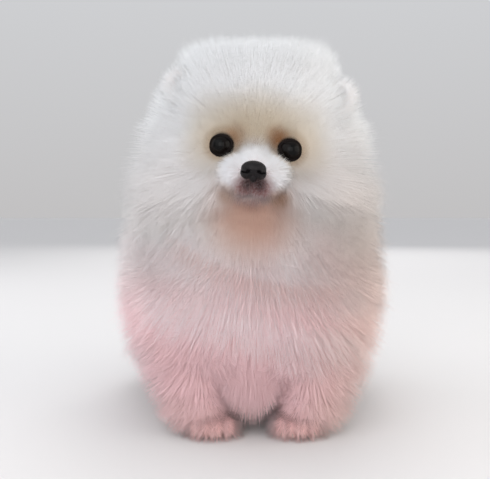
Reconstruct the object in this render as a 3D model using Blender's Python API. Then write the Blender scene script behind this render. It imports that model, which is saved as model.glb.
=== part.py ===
"""A standing toy dog of the spitz kind with a long, trimmed, stand-off coat, life size, as a still museum model.

Metres, +Z up. The dog looks along -Y, and its left side is at +X. The origin is on the floor, under the middle of
the model's own box.
"""

import math
import random

import bmesh
import bpy
from mathutils import Matrix, Vector
from mathutils.bvhtree import BVHTree

# Driving dimensions, in metres and degrees
THIN = 0.65  # share of the triangles kept where a union leaves more than its shape needs
GAP = 0.0003  # air left between two nodes that touch
HEAD_CENTRE = Vector((0.0, -0.050, 0.192))  # between the eyes and the ears, where the head turns
HEAD_ROLL = 4.0  # the head leans to its own left
RUMP_SWING = -0.003  # how far the hips stand to the dog's right
EYE_SPREAD = 0.0216  # from the middle of the face to an eye
EYE_FORWARD = -0.0210  # eye's centre, measured from the head's centre
EYE_RADIUS = 0.0090
EYE_OUTWARD = 14.0  # how far each eye looks to its own side
LID_MOUND = Vector((0.0112, 0.0074, 0.0106))  # half sizes of the flesh round an eye
LID_RADIUS = 0.0079  # middle of a lid's rim
LID_THICK = 0.0014
LID_FORWARD = 0.0052  # the rim's plane, ahead of the eye's centre
NOSE_PLACE = Vector((-0.0005, -0.0505, -0.0165))  # nose leather, from the head's centre
NOSE_HALF = Vector((0.0078, 0.0052, 0.0064))
NOSTRIL_SPREAD = 0.0035
EAR_TILT = 48.0  # an ear's lean from upright
EAR_PLACE = Vector((0.0515, -0.004, 0.0365))
EAR_HALF = Vector((0.0140, 0.0080, 0.0205))
FOREPAW = Vector((0.0285, -0.0500, 0.0))  # middle of a paw on the floor
HINDPAW = Vector((0.0440, 0.0760, 0.0))
PAW_HALF = Vector((0.0165, 0.0200, 0.0130))
CLAW_LONG = 0.0055
LOCK_SINK = 0.005  # how deep a lock is rooted below the surface that it grows from

WHITE = (0.90, 0.87, 0.84)
BLACK = (0.015, 0.013, 0.013)
SKIN_BROWN = (0.20, 0.12, 0.10)


def material(name, colour, roughness):
    """A plain opaque finish."""
    made = bpy.data.materials.new(name)
    made.use_nodes = True
    shader = made.node_tree.nodes["Principled BSDF"]
    shader.inputs["Base Color"].default_value = (*colour, 1.0)
    shader.inputs["Roughness"].default_value = roughness
    made.diffuse_color = (*colour, 1.0)
    return made


def blend(values, share):
    """A value at a share from 0 to 1 along a list of values, by a smooth curve through all of them."""
    place = min(max(share, 0.0), 1.0) * (len(values) - 1)
    low = min(int(place), len(values) - 2)
    part = place - low
    before, start = values[max(low - 1, 0)], values[low]
    end, after = values[low + 1], values[min(low + 2, len(values) - 1)]
    return (
        start
        + (end - before) * 0.5 * part
        + (before * 2.0 - start * 5.0 + end * 4.0 - after) * 0.5 * part**2
        + (start * 3.0 - before - end * 3.0 + after) * 0.5 * part**3
    )


def bridge(made, first, second):
    """Joins two rings of vertices by triangles, always split the same way, so that a larger copy has the same form."""
    for side in range(len(first)):
        after = (side + 1) % len(first)
        made.faces.new((first[side], first[after], second[after]))
        made.faces.new((first[side], second[after], second[side]))


class Loft:
    """A closed form through oval rings: each ring has a centre, a half width along X and a half height across it."""

    def __init__(self, rings, squareness=2.0, sides=16, steps=9, frame=None, up=None):
        self.centres = [Vector(ring[:3]) for ring in rings]
        self.wides = [ring[3] for ring in rings]
        self.highs = [ring[4] for ring in rings]
        self.power = 2.0 / squareness
        self.sides = sides
        self.steps = steps
        self.frame = frame or Matrix.Identity(4)
        self.up = Vector(up) if up else None

    def ring_up(self, share):
        """The direction across X in which a ring's half height is measured."""
        if self.up:
            return self.up
        step = 0.02
        along = blend(self.centres, min(share + step, 1.0)) - blend(self.centres, max(share - step, 0.0))
        return along.cross(Vector((1, 0, 0))).normalized() * -1.0

    def point(self, share, angle, grow=0.0):
        """A point of the surface: share runs along the form, and angle goes round it in radians from +X."""
        wide = max(blend(self.wides, share), 0.0) + grow
        high = max(blend(self.highs, share), 0.0) + grow
        across = math.copysign(abs(math.cos(angle)) ** self.power, math.cos(angle))
        upward = math.copysign(abs(math.sin(angle)) ** self.power, math.sin(angle))
        local = blend(self.centres, share) + Vector((wide * across, 0, 0)) + self.ring_up(share) * high * upward
        return self.frame @ local

    def mesh(self, grow=0.0):
        """The form as a closed mesh, with a pole at each end, larger by grow all over."""
        made = bmesh.new()
        loops = []
        ends = []
        for end, other in ((0.0, 0.02), (1.0, 0.98)):
            middle = self.frame @ blend(self.centres, end)
            out = (middle - self.frame @ blend(self.centres, other)).normalized()
            ends.append(made.verts.new(middle + out * grow))
        for step in range(self.steps + 1):
            # Rings crowd towards both ends, where the form rounds off
            share = 0.5 - 0.5 * math.cos(math.pi * step / self.steps)
            turn = [2 * math.pi * side / self.sides for side in range(self.sides)]
            loops.append([made.verts.new(self.point(share, angle, grow)) for angle in turn])
        for first, second in zip(loops, loops[1:]):
            bridge(made, first, second)
        for pole, loop in ((ends[0], loops[0]), (ends[1], loops[-1])):
            for side in range(self.sides):
                made.faces.new((loop[side], loop[(side + 1) % self.sides], pole))
        bmesh.ops.recalc_face_normals(made, faces=made.faces)
        return made


class Oval:
    """A ball stretched along three axes, turned and placed."""

    def __init__(self, centre, half, turn=None, frame=None, detail=2):
        self.centre = Vector(centre)
        self.half = Vector(half)
        self.turn = turn or Matrix.Identity(4)
        self.frame = frame or Matrix.Identity(4)
        self.detail = detail

    def mesh(self, grow=0.0):
        """The ball as a closed mesh, larger by grow all over."""
        made = bmesh.new()
        bmesh.ops.create_icosphere(made, subdivisions=self.detail, radius=1.0)
        half = self.half + Vector((grow, grow, grow))
        place = self.frame @ Matrix.Translation(self.centre) @ self.turn @ Matrix.Diagonal((*half, 1.0))
        made.transform(place)
        return made


class Block:
    """A box between two corners, used to cut other forms."""

    def __init__(self, low, high):
        self.low = Vector(low)
        self.high = Vector(high)

    def mesh(self, grow=0.0):
        """The box as a closed mesh, larger by grow all over."""
        made = bmesh.new()
        bmesh.ops.create_cube(made, size=1.0)
        size = self.high - self.low + Vector((2, 2, 2)) * grow
        made.transform(Matrix.Translation((self.low + self.high) / 2) @ Matrix.Diagonal((*size, 1.0)))
        return made


class Rim:
    """A round rim, such as the edge of the lids: a ring of a given radius and thickness that faces -Y."""

    def __init__(self, centre, radius, thick, turn, frame):
        self.place = frame @ Matrix.Translation(centre) @ turn
        self.radius = radius
        self.thick = thick

    def mesh(self, grow=0.0):
        """The rim as a closed mesh, thicker by grow all over."""
        made = bmesh.new()
        around, across = 12, 4
        half = self.thick + grow
        loops = []
        for step in range(around):
            angle = 2 * math.pi * step / around
            out = Vector((math.cos(angle), 0, math.sin(angle)))
            turn = [2 * math.pi * side / across for side in range(across)]
            ring = [out * (self.radius + half * math.cos(t)) + Vector((0, half * math.sin(t), 0)) for t in turn]
            loops.append([made.verts.new(self.place @ point) for point in ring])
        for step in range(around):
            bridge(made, loops[step], loops[(step + 1) % around])
        bmesh.ops.recalc_face_normals(made, faces=made.faces)
        return made


class Lock:
    """A flat, tapered lock of hair with a low ridge along its outer side, bent from its root to its tip."""

    def __init__(self, root, middle, tip, outward, wide, thick, rings=3):
        self.root = root
        self.middle = middle
        self.tip = tip
        self.outward = outward
        self.wide = wide
        self.thick = thick
        self.rings = rings

    def mesh(self, grow=0.0):
        """The lock as a closed mesh, larger by grow all over."""
        made = bmesh.new()
        bend = self.middle * 2.0 - (self.root + self.tip) * 0.5
        side = (self.tip - self.root).cross(self.outward).normalized()
        loops = []
        for number in range(self.rings):
            share = (number / self.rings) ** 0.9
            along = ((bend - self.root) * (1 - share) + (self.tip - bend) * share).normalized()
            place = self.root * (1 - share) ** 2 + bend * 2 * share * (1 - share) + self.tip * share**2
            ridge = side.cross(along).normalized()
            half = self.wide * 0.5 * (0.48 + 2.00 * share - 2.20 * share**2) + grow * 4
            high = self.thick * (1 - 0.55 * share) + grow * 1.5
            if number == 0:
                place = place - along * grow
            points = (place - side * half - ridge * grow, place + side * half - ridge * grow, place + ridge * high)
            loops.append([made.verts.new(point) for point in points])
        end = made.verts.new(self.tip + (self.tip - place).normalized() * grow * 5)
        made.faces.new(loops[0])
        for first, second in zip(loops, loops[1:]):
            bridge(made, first, second)
        for corner in range(3):
            made.faces.new((loops[-1][corner], loops[-1][(corner + 1) % 3], end))
        bmesh.ops.recalc_face_normals(made, faces=made.faces)
        return made


class Solid:
    """Tells whether a point is inside a shape, so that no lock is made where another form hides it."""

    def __init__(self, shape, grow=0.0):
        made = shape.mesh(grow)
        self.tree = BVHTree.FromBMesh(made)
        made.free()

    def holds(self, point):
        """True when the point is inside."""
        near, normal, _, _ = self.tree.find_nearest(point)
        return (point - near).dot(normal) < 0


class Coat:
    """Locks rooted on a core, with their tips on the outer form of the same hair."""

    def __init__(self, core, outer, wide, thick, seed, hidden_root=(), hidden_tip=()):
        self.core = core
        self.outer = outer
        self.wide = wide
        self.thick = thick
        self.draw = random.Random(seed)
        self.hidden_root = [Solid(shape) for shape in hidden_root]
        self.hidden_tip = [Solid(shape, -0.003) for shape in hidden_tip]
        self.locks = []

    def grow_lock(self, share, angle, sweep, turn, drop=0.0):
        """One lock: its tip lies sweep along the form from its root, turn round it, and drop below that."""
        draw = self.draw
        sweep *= draw.uniform(0.88, 1.14)
        turn += draw.uniform(-0.06, 0.06)
        surface = self.core.point(share, angle)
        middle_share, middle_angle = share + sweep * 0.45, angle + turn * 0.45
        inner = self.core.point(middle_share, middle_angle)
        middle = inner.lerp(self.outer.point(middle_share, middle_angle), 0.84)
        tip = self.outer.point(share + sweep, angle + turn)
        centre = self.core.frame @ blend(self.core.centres, min(share, 1.0))
        tip = centre.lerp(tip, draw.uniform(0.99, 1.05))
        middle.z -= drop * 0.3
        tip.z -= drop
        root = surface + (centre - surface).normalized() * LOCK_SINK
        if any(solid.holds(surface) for solid in self.hidden_root):
            return
        if any(solid.holds(tip) for solid in self.hidden_tip):
            return
        outward = (middle - centre).normalized()
        wide = self.wide * draw.uniform(0.90, 1.10)
        self.locks.append(Lock(root, middle, tip, outward, wide, self.thick))

    def grow_row(self, share, count, sweep, fall=0.0, skip=None, start=0.0, drop=0.0):
        """A row of locks round the form. Fall turns the tips down towards -90 degrees, and skip leaves some out."""
        for number in range(count):
            angle = start + 2 * math.pi * (number + self.draw.uniform(-0.12, 0.12)) / count
            if skip and skip(math.degrees(angle) % 360):
                continue
            self.grow_lock(share, angle, sweep, -fall * math.cos(angle), drop)


def object_of(name, shape, grow=0.0):
    """A scene object that holds a shape's mesh."""
    made = shape.mesh(grow)
    mesh = bpy.data.meshes.new(name)
    made.to_mesh(mesh)
    made.free()
    thing = bpy.data.objects.new(name, mesh)
    bpy.context.scene.collection.objects.link(thing)
    return thing


def combine(thing, shapes, operation, grow=0.0):
    """Joins shapes to an object or cuts them from it, as one Boolean on their collection."""
    if not shapes:
        return
    group = bpy.data.collections.new(thing.name + "_group")
    bpy.context.scene.collection.children.link(group)
    for number, shape in enumerate(shapes):
        helper = object_of(f"{thing.name}_helper_{number}", shape, grow)
        bpy.context.scene.collection.objects.unlink(helper)
        group.objects.link(helper)
    modifier = thing.modifiers.new(operation.lower(), "BOOLEAN")
    modifier.operation = operation
    modifier.operand_type = "COLLECTION"
    modifier.collection = group
    modifier.solver = "MANIFOLD"
    bpy.context.view_layer.objects.active = thing
    bpy.ops.object.modifier_apply(modifier=modifier.name)
    for helper in list(group.objects):
        bpy.data.objects.remove(helper)
    bpy.data.collections.remove(group)


def keep_largest(thing):
    """Keeps an object's largest closed surface, and drops loose scraps and sealed hollows."""
    made = bmesh.new()
    made.from_mesh(thing.data)
    bmesh.ops.triangulate(made, faces=made.faces)
    left = set(made.faces)
    shells = []
    while left:
        shell = set()
        edge = [left.pop()]
        while edge:
            face = edge.pop()
            shell.add(face)
            for side in face.edges:
                # Surfaces that only touch along an edge are told apart
                for near in side.link_faces if len(side.link_faces) == 2 else ():
                    if near in left:
                        left.discard(near)
                        edge.append(near)
        shells.append(shell)

    def volume(shell):
        return abs(sum(f.verts[0].co.dot(f.verts[1].co.cross(f.verts[2].co)) for f in shell))

    biggest = max(shells, key=volume)
    drop = [face for face in made.faces if face not in biggest]
    bmesh.ops.delete(made, geom=drop, context="FACES")
    loose = [vert for vert in made.verts if not vert.link_faces]
    bmesh.ops.delete(made, geom=loose, context="VERTS")
    made.to_mesh(thing.data)
    made.free()


def node(name, shapes, finish, clear_of=(), cut=(), thin=1.0):
    """One named part: its shapes joined, cut clear of its neighbours' shapes, and finished."""
    thing = object_of(name, shapes[0])
    combine(thing, shapes[1:], "UNION")
    if thin < 1:
        keep_largest(thing)
        modifier = thing.modifiers.new("thin", "DECIMATE")
        modifier.ratio = thin
        bpy.context.view_layer.objects.active = thing
        bpy.ops.object.modifier_apply(modifier=modifier.name)
    combine(thing, list(clear_of), "DIFFERENCE", GAP)
    combine(thing, list(cut), "DIFFERENCE")
    keep_largest(thing)
    thing.data.materials.clear()
    thing.data.materials.append(finish)
    thing.data.shade_smooth()
    thing.data.set_sharp_from_angle(angle=math.radians(35))
    return thing


def mirrored(rings, side, shift=0.0):
    """Rings given for the dog's left, for the left or the right."""
    return [(x * side + shift, y, z, wide, high) for x, y, z, wide, high in rings]


def head_frame():
    """Places the head: its parts are measured from the head's centre and lean with it."""
    return Matrix.Translation(HEAD_CENTRE) @ Matrix.Rotation(math.radians(HEAD_ROLL), 4, "Y")


# Outer forms of the coat, and the cores that its locks grow from, as rings of x, y, z, half width, half height
HEAD_COAT = [
    (0, -0.0235, 0.010, 0.016, 0.016),
    (0, -0.0225, 0.011, 0.046, 0.042),
    (0, -0.010, 0.012, 0.071, 0.060),
    (0, 0.008, 0.011, 0.083, 0.067),
    (0, 0.030, 0.010, 0.085, 0.067),
    (0, 0.056, 0.009, 0.072, 0.057),
    (0, 0.076, 0.006, 0.040, 0.034),
    (0, 0.082, 0.004, 0.006, 0.006),
]
HEAD_CORE = [
    (0, -0.0235, 0.004, 0.012, 0.012),
    (0, -0.0225, 0.006, 0.034, 0.031),
    (0, -0.010, 0.010, 0.047, 0.042),
    (0, 0.010, 0.012, 0.054, 0.046),
    (0, 0.032, 0.012, 0.054, 0.044),
    (0, 0.052, 0.010, 0.044, 0.036),
    (0, 0.064, 0.006, 0.026, 0.022),
    (0, 0.068, 0.005, 0.005, 0.005),
]
RUFF_COAT = [
    (0, -0.050, 0.198, 0.060, 0.044),
    (0, -0.045, 0.182, 0.091, 0.064),
    (0, -0.036, 0.160, 0.096, 0.076),
    (0, -0.022, 0.134, 0.101, 0.084),
    (0, -0.010, 0.112, 0.103, 0.086),
    (0, -0.001, 0.096, 0.092, 0.074),
    (0, 0.003, 0.088, 0.060, 0.050),
]
RUFF_CORE = [
    (0, -0.046, 0.184, 0.042, 0.032),
    (0, -0.040, 0.172, 0.054, 0.044),
    (0, -0.031, 0.154, 0.060, 0.050),
    (0, -0.019, 0.134, 0.064, 0.054),
    (0, -0.009, 0.114, 0.066, 0.056),
    (0, -0.001, 0.101, 0.058, 0.050),
    (0, 0.002, 0.095, 0.036, 0.032),
]
TORSO_COAT = [
    (0, -0.092, 0.114, 0.010, 0.010),
    (0, -0.086, 0.103, 0.055, 0.050),
    (0, -0.066, 0.096, 0.086, 0.068),
    (-0.001, -0.030, 0.097, 0.103, 0.075),
    (-0.003, 0.015, 0.101, 0.109, 0.077),
    (-0.004, 0.060, 0.102, 0.110, 0.076),
    (-0.005, 0.098, 0.102, 0.101, 0.072),
    (-0.005, 0.128, 0.103, 0.074, 0.058),
    (-0.005, 0.142, 0.104, 0.012, 0.012),
]
TORSO_CORE = [
    (0, -0.070, 0.112, 0.006, 0.006),
    (0, -0.064, 0.104, 0.036, 0.036),
    (0, -0.048, 0.099, 0.058, 0.050),
    (-0.001, -0.020, 0.099, 0.069, 0.056),
    (-0.003, 0.015, 0.101, 0.073, 0.058),
    (-0.004, 0.055, 0.102, 0.073, 0.057),
    (-0.005, 0.086, 0.103, 0.065, 0.051),
    (-0.005, 0.110, 0.104, 0.046, 0.038),
    (-0.005, 0.121, 0.105, 0.008, 0.008),
]
FORELEG_COAT = [
    (0.0400, -0.036, 0.080, 0.020, 0.022),
    (0.0405, -0.040, 0.066, 0.032, 0.031),
    (0.0415, -0.042, 0.044, 0.034, 0.033),
    (0.0415, -0.043, 0.026, 0.034, 0.032),
    (0.0400, -0.044, 0.012, 0.031, 0.029),
    (0.0380, -0.044, 0.006, 0.022, 0.022),
]
FORELEG_CORE = [
    (0.0370, -0.034, 0.070, 0.012, 0.013),
    (0.0375, -0.039, 0.058, 0.018, 0.019),
    (0.0380, -0.044, 0.044, 0.0195, 0.0205),
    (0.0370, -0.046, 0.026, 0.0185, 0.0195),
    (0.0340, -0.048, 0.013, 0.0165, 0.0190),
    (0.0310, -0.049, 0.007, 0.011, 0.013),
]
HINDLEG_COAT = [
    (0.0500, 0.076, 0.082, 0.032, 0.036),
    (0.0540, 0.078, 0.068, 0.048, 0.046),
    (0.0580, 0.079, 0.048, 0.052, 0.048),
    (0.0585, 0.080, 0.028, 0.050, 0.046),
    (0.0580, 0.080, 0.014, 0.046, 0.042),
    (0.0570, 0.079, 0.005, 0.037, 0.034),
]
HINDLEG_CORE = [
    (0.0440, 0.072, 0.080, 0.016, 0.020),
    (0.0470, 0.077, 0.064, 0.025, 0.026),
    (0.0490, 0.081, 0.046, 0.0255, 0.0265),
    (0.0490, 0.081, 0.026, 0.0245, 0.0245),
    (0.0480, 0.080, 0.013, 0.021, 0.021),
    (0.0470, 0.079, 0.007, 0.014, 0.014),
]
TAIL_COAT = [
    (-0.006, 0.112, 0.138, 0.022, 0.020),
    (-0.006, 0.128, 0.153, 0.038, 0.028),
    (-0.006, 0.127, 0.174, 0.048, 0.032),
    (-0.006, 0.106, 0.190, 0.055, 0.033),
    (-0.005, 0.078, 0.196, 0.054, 0.032),
    (-0.004, 0.052, 0.196, 0.040, 0.026),
    (-0.004, 0.036, 0.194, 0.014, 0.012),
]
TAIL_CORE = [
    (-0.006, 0.100, 0.136, 0.012, 0.011),
    (-0.006, 0.117, 0.150, 0.016, 0.013),
    (-0.006, 0.118, 0.168, 0.019, 0.014),
    (-0.006, 0.102, 0.181, 0.021, 0.014),
    (-0.005, 0.080, 0.186, 0.021, 0.013),
    (-0.004, 0.060, 0.187, 0.016, 0.010),
    (-0.004, 0.052, 0.187, 0.004, 0.003),
]
MUZZLE = [
    (0, -0.010, -0.0120, 0.0220, 0.0160),
    (0, -0.021, -0.0120, 0.0245, 0.0155),
    (0, -0.031, -0.0145, 0.0215, 0.0140),
    (0, -0.040, -0.0170, 0.0165, 0.0110),
    (0, -0.0470, -0.0180, 0.0110, 0.0085),
    (0, -0.0495, -0.0180, 0.0040, 0.0040),
]
JAW = [
    (0, -0.004, -0.0325, 0.0160, 0.0070),
    (0, -0.014, -0.0335, 0.0165, 0.0070),
    (0, -0.025, -0.0330, 0.0150, 0.0062),
    (0, -0.036, -0.0325, 0.0115, 0.0050),
    (0, -0.0430, -0.0320, 0.0070, 0.0038),
    (0, -0.0455, -0.0320, 0.0020, 0.0012),
]


def eye_centre(side):
    """The middle of an eyeball, measured from the head's centre."""
    return Vector((EYE_SPREAD * side, EYE_FORWARD, 0))


def lid_shapes(side):
    """The flesh round an eye and the rim of its lids, which look ahead and a little to their own side."""
    turn = Matrix.Rotation(math.radians(EYE_OUTWARD * side), 4, "Z")
    rim = eye_centre(side) + turn @ Vector((0, -LID_FORWARD, 0))
    mound = Oval(eye_centre(side), LID_MOUND, turn=turn, frame=head_frame())
    return [mound, Rim(rim, LID_RADIUS, LID_THICK, turn, head_frame())]


def lip_shapes():
    """The two upper lips, which hang a little over the lower jaw."""
    place, half = Vector((0.0085, -0.0395, -0.0245)), (0.0085, 0.0080, 0.0065)
    return [Oval((place.x * side, place.y, place.z), half, frame=head_frame()) for side in (1, -1)]


def philtrum_cut():
    """The groove from the nose down to the mouth."""
    return Oval((0, -0.0500, -0.0265), (0.0007, 0.0045, 0.0060), frame=head_frame())


def nostril_cuts():
    """The two nostrils."""
    depth = NOSE_PLACE.y - NOSE_HALF.y
    places = [(NOSE_PLACE.x + NOSTRIL_SPREAD * side, depth, NOSE_PLACE.z) for side in (1, -1)]
    return [Oval(place, (0.0019, 0.0032, 0.0013), frame=head_frame(), detail=1) for place in places]


def ear_shapes(side):
    """One small upright ear that leans outward, with a fringe of short locks round its edge."""
    turn = Matrix.Rotation(math.radians(EAR_TILT * side), 4, "Y")
    place = Vector((EAR_PLACE.x * side, EAR_PLACE.y, EAR_PLACE.z))
    shapes = [Oval(place, EAR_HALF, turn=turn, frame=head_frame())]
    to_world = head_frame() @ Matrix.Translation(place) @ turn
    outward = (to_world.to_3x3() @ Vector((0, 1, 0))).normalized()
    draw = random.Random(11 + side)
    for number in range(5):
        angle = math.radians(-10 + 200 * number / 4 + draw.uniform(-6, 6))
        edge = Vector((math.cos(angle) * EAR_HALF.x, 0.002, math.sin(angle) * EAR_HALF.z))
        out = edge.normalized()
        root, middle, tip = edge - out * 0.004, edge + out * 0.002, edge + out * 0.006 + Vector((0, 0.006, 0))
        points = [to_world @ point for point in (root, middle, tip)]
        shapes.append(Lock(*points, outward, 0.0120, 0.0030))
    return shapes


def ear_cup(side):
    """The hollow in the front of an ear."""
    turn = Matrix.Rotation(math.radians(EAR_TILT * side), 4, "Y")
    place = Vector((EAR_PLACE.x * side, EAR_PLACE.y - 0.0065, EAR_PLACE.z)) + turn @ Vector((0, 0, 0.002))
    return Oval(place, (0.0100, 0.0070, 0.0160), turn=turn, frame=head_frame())


def paw_shapes(place, side, shift=0.0):
    """The pad, the four toes and the claws of one paw."""
    middle = Vector((place.x * side + shift, place.y, PAW_HALF.z * 0.55))
    shapes = [Oval(middle, PAW_HALF)]
    for toe in range(4):
        across = (toe - 1.5) / 1.5
        forward = -PAW_HALF.y * (0.78 - 0.22 * abs(across))
        centre = middle + Vector((across * PAW_HALF.x * 0.66, forward, -0.0010))
        shapes.append(Oval(centre, (0.0058, 0.0085, 0.0078)))
        out = Vector((across * 0.25, -1, 0)).normalized()
        start = centre + out * 0.0060 + Vector((0, 0, 0.0010))
        middle_claw = start + out * CLAW_LONG * 0.6 + Vector((0, 0, 0.0004))
        end = start + out * CLAW_LONG - Vector((0, 0, 0.0022))
        shapes.append(Lock(start, middle_claw, end, Vector((0, 0, 1)), 0.0022, 0.0016, rings=2))
    return shapes


def head_locks(core, outer):
    """Locks that stand out round the face and sweep back over the head and cheeks."""
    coat = Coat(core, outer, wide=0.031, thick=0.0065, seed=1)

    def over_face(angle):
        return 222 < angle < 318

    def over_face_or_ears(angle):
        return over_face(angle) or 24 < angle < 52 or 128 < angle < 156

    def over_throat(angle):
        return 240 < angle < 300

    coat.grow_row(0.09, 9, 0.15, skip=over_face, start=0.35)
    coat.grow_row(0.23, 10, 0.18, fall=0.10, skip=over_face_or_ears)
    coat.grow_row(0.39, 9, 0.18, fall=0.12, skip=over_throat, start=0.24)
    coat.grow_row(0.56, 9, 0.19, fall=0.12)
    coat.grow_row(0.74, 7, 0.20, fall=0.06, start=0.2)
    return coat.locks


def ruff_locks(core, outer, hidden_root, hidden_tip):
    """Locks that hang over each other round the neck, longest on the chest."""
    coat = Coat(core, outer, 0.037, 0.0075, seed=2, hidden_root=hidden_root, hidden_tip=hidden_tip)

    def behind(angle):
        return 20 < angle < 160

    coat.grow_row(0.07, 8, 0.20, skip=behind, start=0.2)
    coat.grow_row(0.24, 10, 0.26, start=0.1)
    coat.grow_row(0.46, 10, 0.26, start=0.4)
    coat.grow_row(0.70, 11, 0.25, start=0.1)
    return coat.locks


def torso_locks(core, outer, hidden_root, hidden_tip):
    """Locks that sweep back along the body and fall down its sides."""
    coat = Coat(core, outer, 0.040, 0.0080, seed=3, hidden_root=hidden_root, hidden_tip=hidden_tip)

    def above(angle):
        return 10 < angle < 170

    coat.grow_row(0.05, 8, 0.10, skip=above, start=0.35, drop=0.012)
    coat.grow_row(0.14, 8, 0.13, fall=0.30, start=0.2)
    coat.grow_row(0.28, 9, 0.15, fall=0.30)
    coat.grow_row(0.44, 10, 0.15, fall=0.30, start=0.26)
    coat.grow_row(0.60, 10, 0.15, fall=0.28)
    coat.grow_row(0.75, 9, 0.14, fall=0.22, start=0.2)
    coat.grow_row(0.87, 7, 0.08, fall=0.30, drop=0.018)
    coat.grow_row(0.95, 4, 0.03, fall=0.40, start=0.3, drop=0.026)
    tuft = []
    for x, reach in ((-0.014, 0.026), (0.001, 0.016), (0.016, 0.030)):
        root, middle, tip = Vector((x, -0.048, 0.066)), Vector((x, -0.066, 0.048)), Vector((x * 0.5, -0.070, reach))
        tuft.append(Lock(root, middle, tip, Vector((0, -1, 0)), 0.019, 0.0055))
    return coat.locks + tuft


def leg_locks(core, outer, wide, seed, hidden_root, hidden_tip):
    """Locks that hang down round a leg, over the top of its paw."""
    coat = Coat(core, outer, wide, 0.0060, seed, hidden_root=hidden_root, hidden_tip=hidden_tip)
    coat.grow_row(0.28, 5, 0.40)
    coat.grow_row(0.55, 5, 0.36, start=0.6)
    return coat.locks


def tail_locks(core, outer):
    """Locks that fan out to both sides of the tail, which lies forward over the back."""
    coat = Coat(core, outer, 0.028, 0.0060, seed=5)
    coat.grow_row(0.14, 7, 0.18, start=0.67)
    coat.grow_row(0.36, 7, 0.20, start=0.22)
    coat.grow_row(0.58, 7, 0.20, start=0.67)
    coat.grow_row(0.78, 5, 0.18, start=0.94)
    return coat.locks


def build():
    """Makes every node and sets the model over its origin."""
    coat = material("coat", WHITE, 0.85)
    dark = material("dark_skin", BLACK, 0.35)
    lip_skin = material("lip_skin", SKIN_BROWN, 0.6)
    eye_glass = material("eye", BLACK, 0.08)
    floor_cut = Block((-0.3, -0.3, -0.1), (0.3, 0.3, 0.0))
    frame = head_frame()
    sides = (("left", 1), ("right", -1))
    up = (0, 0, 1)

    head_core = Loft(HEAD_CORE, squareness=2.2, sides=16, steps=8, frame=frame, up=up)
    head_outer = Loft(HEAD_COAT, squareness=2.4, frame=frame, up=up)
    ruff_core, ruff_outer = Loft(RUFF_CORE, sides=14, steps=7), Loft(RUFF_COAT)
    tail_core, tail_outer = Loft(TAIL_CORE, sides=8, steps=8), Loft(TAIL_COAT)
    torso_core = Loft(TORSO_CORE, squareness=2.2, sides=14, steps=8, up=up)
    torso_outer = Loft(TORSO_COAT, squareness=3.0, up=up)
    muzzle = Loft(MUZZLE, sides=16, steps=8, frame=frame, up=up)
    nose = [Oval(NOSE_PLACE, NOSE_HALF, frame=frame, detail=3)]
    eyes = []
    ears = []
    for name, side in sides:
        eye = Oval(eye_centre(side), (EYE_RADIUS,) * 3, frame=frame, detail=3)
        ear = ear_shapes(side)
        node(f"eye_{name}", [eye], eye_glass)
        node(f"ear_{name}", ear, coat, cut=[ear_cup(side)])
        eyes.append(eye)
        ears += ear
    node("nose", nose, dark, cut=nostril_cuts())

    head = [head_core, muzzle, *lip_shapes(), *lid_shapes(1), *lid_shapes(-1), *head_locks(head_core, head_outer)]
    node("head", head, coat, clear_of=[*eyes, *ears, *nose], cut=[philtrum_cut()], thin=THIN)
    jaw = [Loft(JAW, sides=14, steps=7, frame=frame, up=up)]
    node("lower_jaw", jaw, lip_skin, clear_of=[*head, *nose])
    ruff = [ruff_core, *ruff_locks(ruff_core, ruff_outer, [head_core], [head_outer])]
    node("neck_ruff", ruff, coat, clear_of=[*head, *jaw, *ears])
    tail = [tail_core, *tail_locks(tail_core, tail_outer)]
    node("tail", tail, coat, clear_of=[*head, *ruff], thin=THIN)
    above = [*head, *ruff, *tail]
    torso = [torso_core, *torso_locks(torso_core, torso_outer, [ruff_core, tail_core], [ruff_outer, tail_outer])]
    paws = []
    legs = []
    for name, side in sides:
        for limb, coat_rings, core_rings, place, shift in (
            ("fore", FORELEG_COAT, FORELEG_CORE, FOREPAW, 0.0),
            ("hind", HINDLEG_COAT, HINDLEG_CORE, HINDPAW, RUMP_SWING),
        ):
            paw = paw_shapes(place, side, shift)
            node(f"{limb}paw_{name}", paw, coat, cut=[floor_cut], thin=THIN)
            paws += paw
            legs.append((limb, name, mirrored(coat_rings, side, shift), mirrored(core_rings, side, shift), paw))
    node("torso", torso, coat, clear_of=[*above, *paws], cut=[floor_cut])
    done = []
    for number, (limb, name, coat_rings, core_rings, paw) in enumerate(legs):
        core, outer = Loft(core_rings, sides=10, steps=6), Loft(coat_rings)
        wide = 0.030 if limb == "fore" else 0.040
        locks = leg_locks(core, outer, wide, 20 + number, [torso_core], [torso_outer])
        leg = [core, *locks]
        node(f"{limb}leg_{name}", leg, coat, clear_of=[*torso, *ruff, *paws, *done], cut=[floor_cut], thin=THIN)
        done += leg
    stand_over_origin()


def stand_over_origin():
    """Moves every node so that the middle of the model's box is over the origin."""
    corners = [vert.co for thing in bpy.data.objects for vert in thing.data.vertices]
    middle_x = (min(c.x for c in corners) + max(c.x for c in corners)) / 2
    middle_y = (min(c.y for c in corners) + max(c.y for c in corners)) / 2
    lowest = min(c.z for c in corners)
    for thing in bpy.data.objects:
        thing.data.transform(Matrix.Translation((-middle_x, -middle_y, -lowest)))


for old in list(bpy.data.objects):
    bpy.data.objects.remove(old)
build()
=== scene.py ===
"""Looks of a still, life-size model of a white toy spitz with a long, trimmed coat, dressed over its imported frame.

Metres, +Z up. The dog looks along -Y, and its left side is at +X. Places are written in the dog's own plan, with
the floor at 0 and the eyes where the sizes below put them, and are moved to the frame by one measured step.
"""

import logging
import math
from dataclasses import dataclass, field
from enum import Enum
from typing import Iterable, Sequence

import bpy
import numpy as np
from mathutils import Matrix, Vector
from mathutils.kdtree import KDTree


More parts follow.
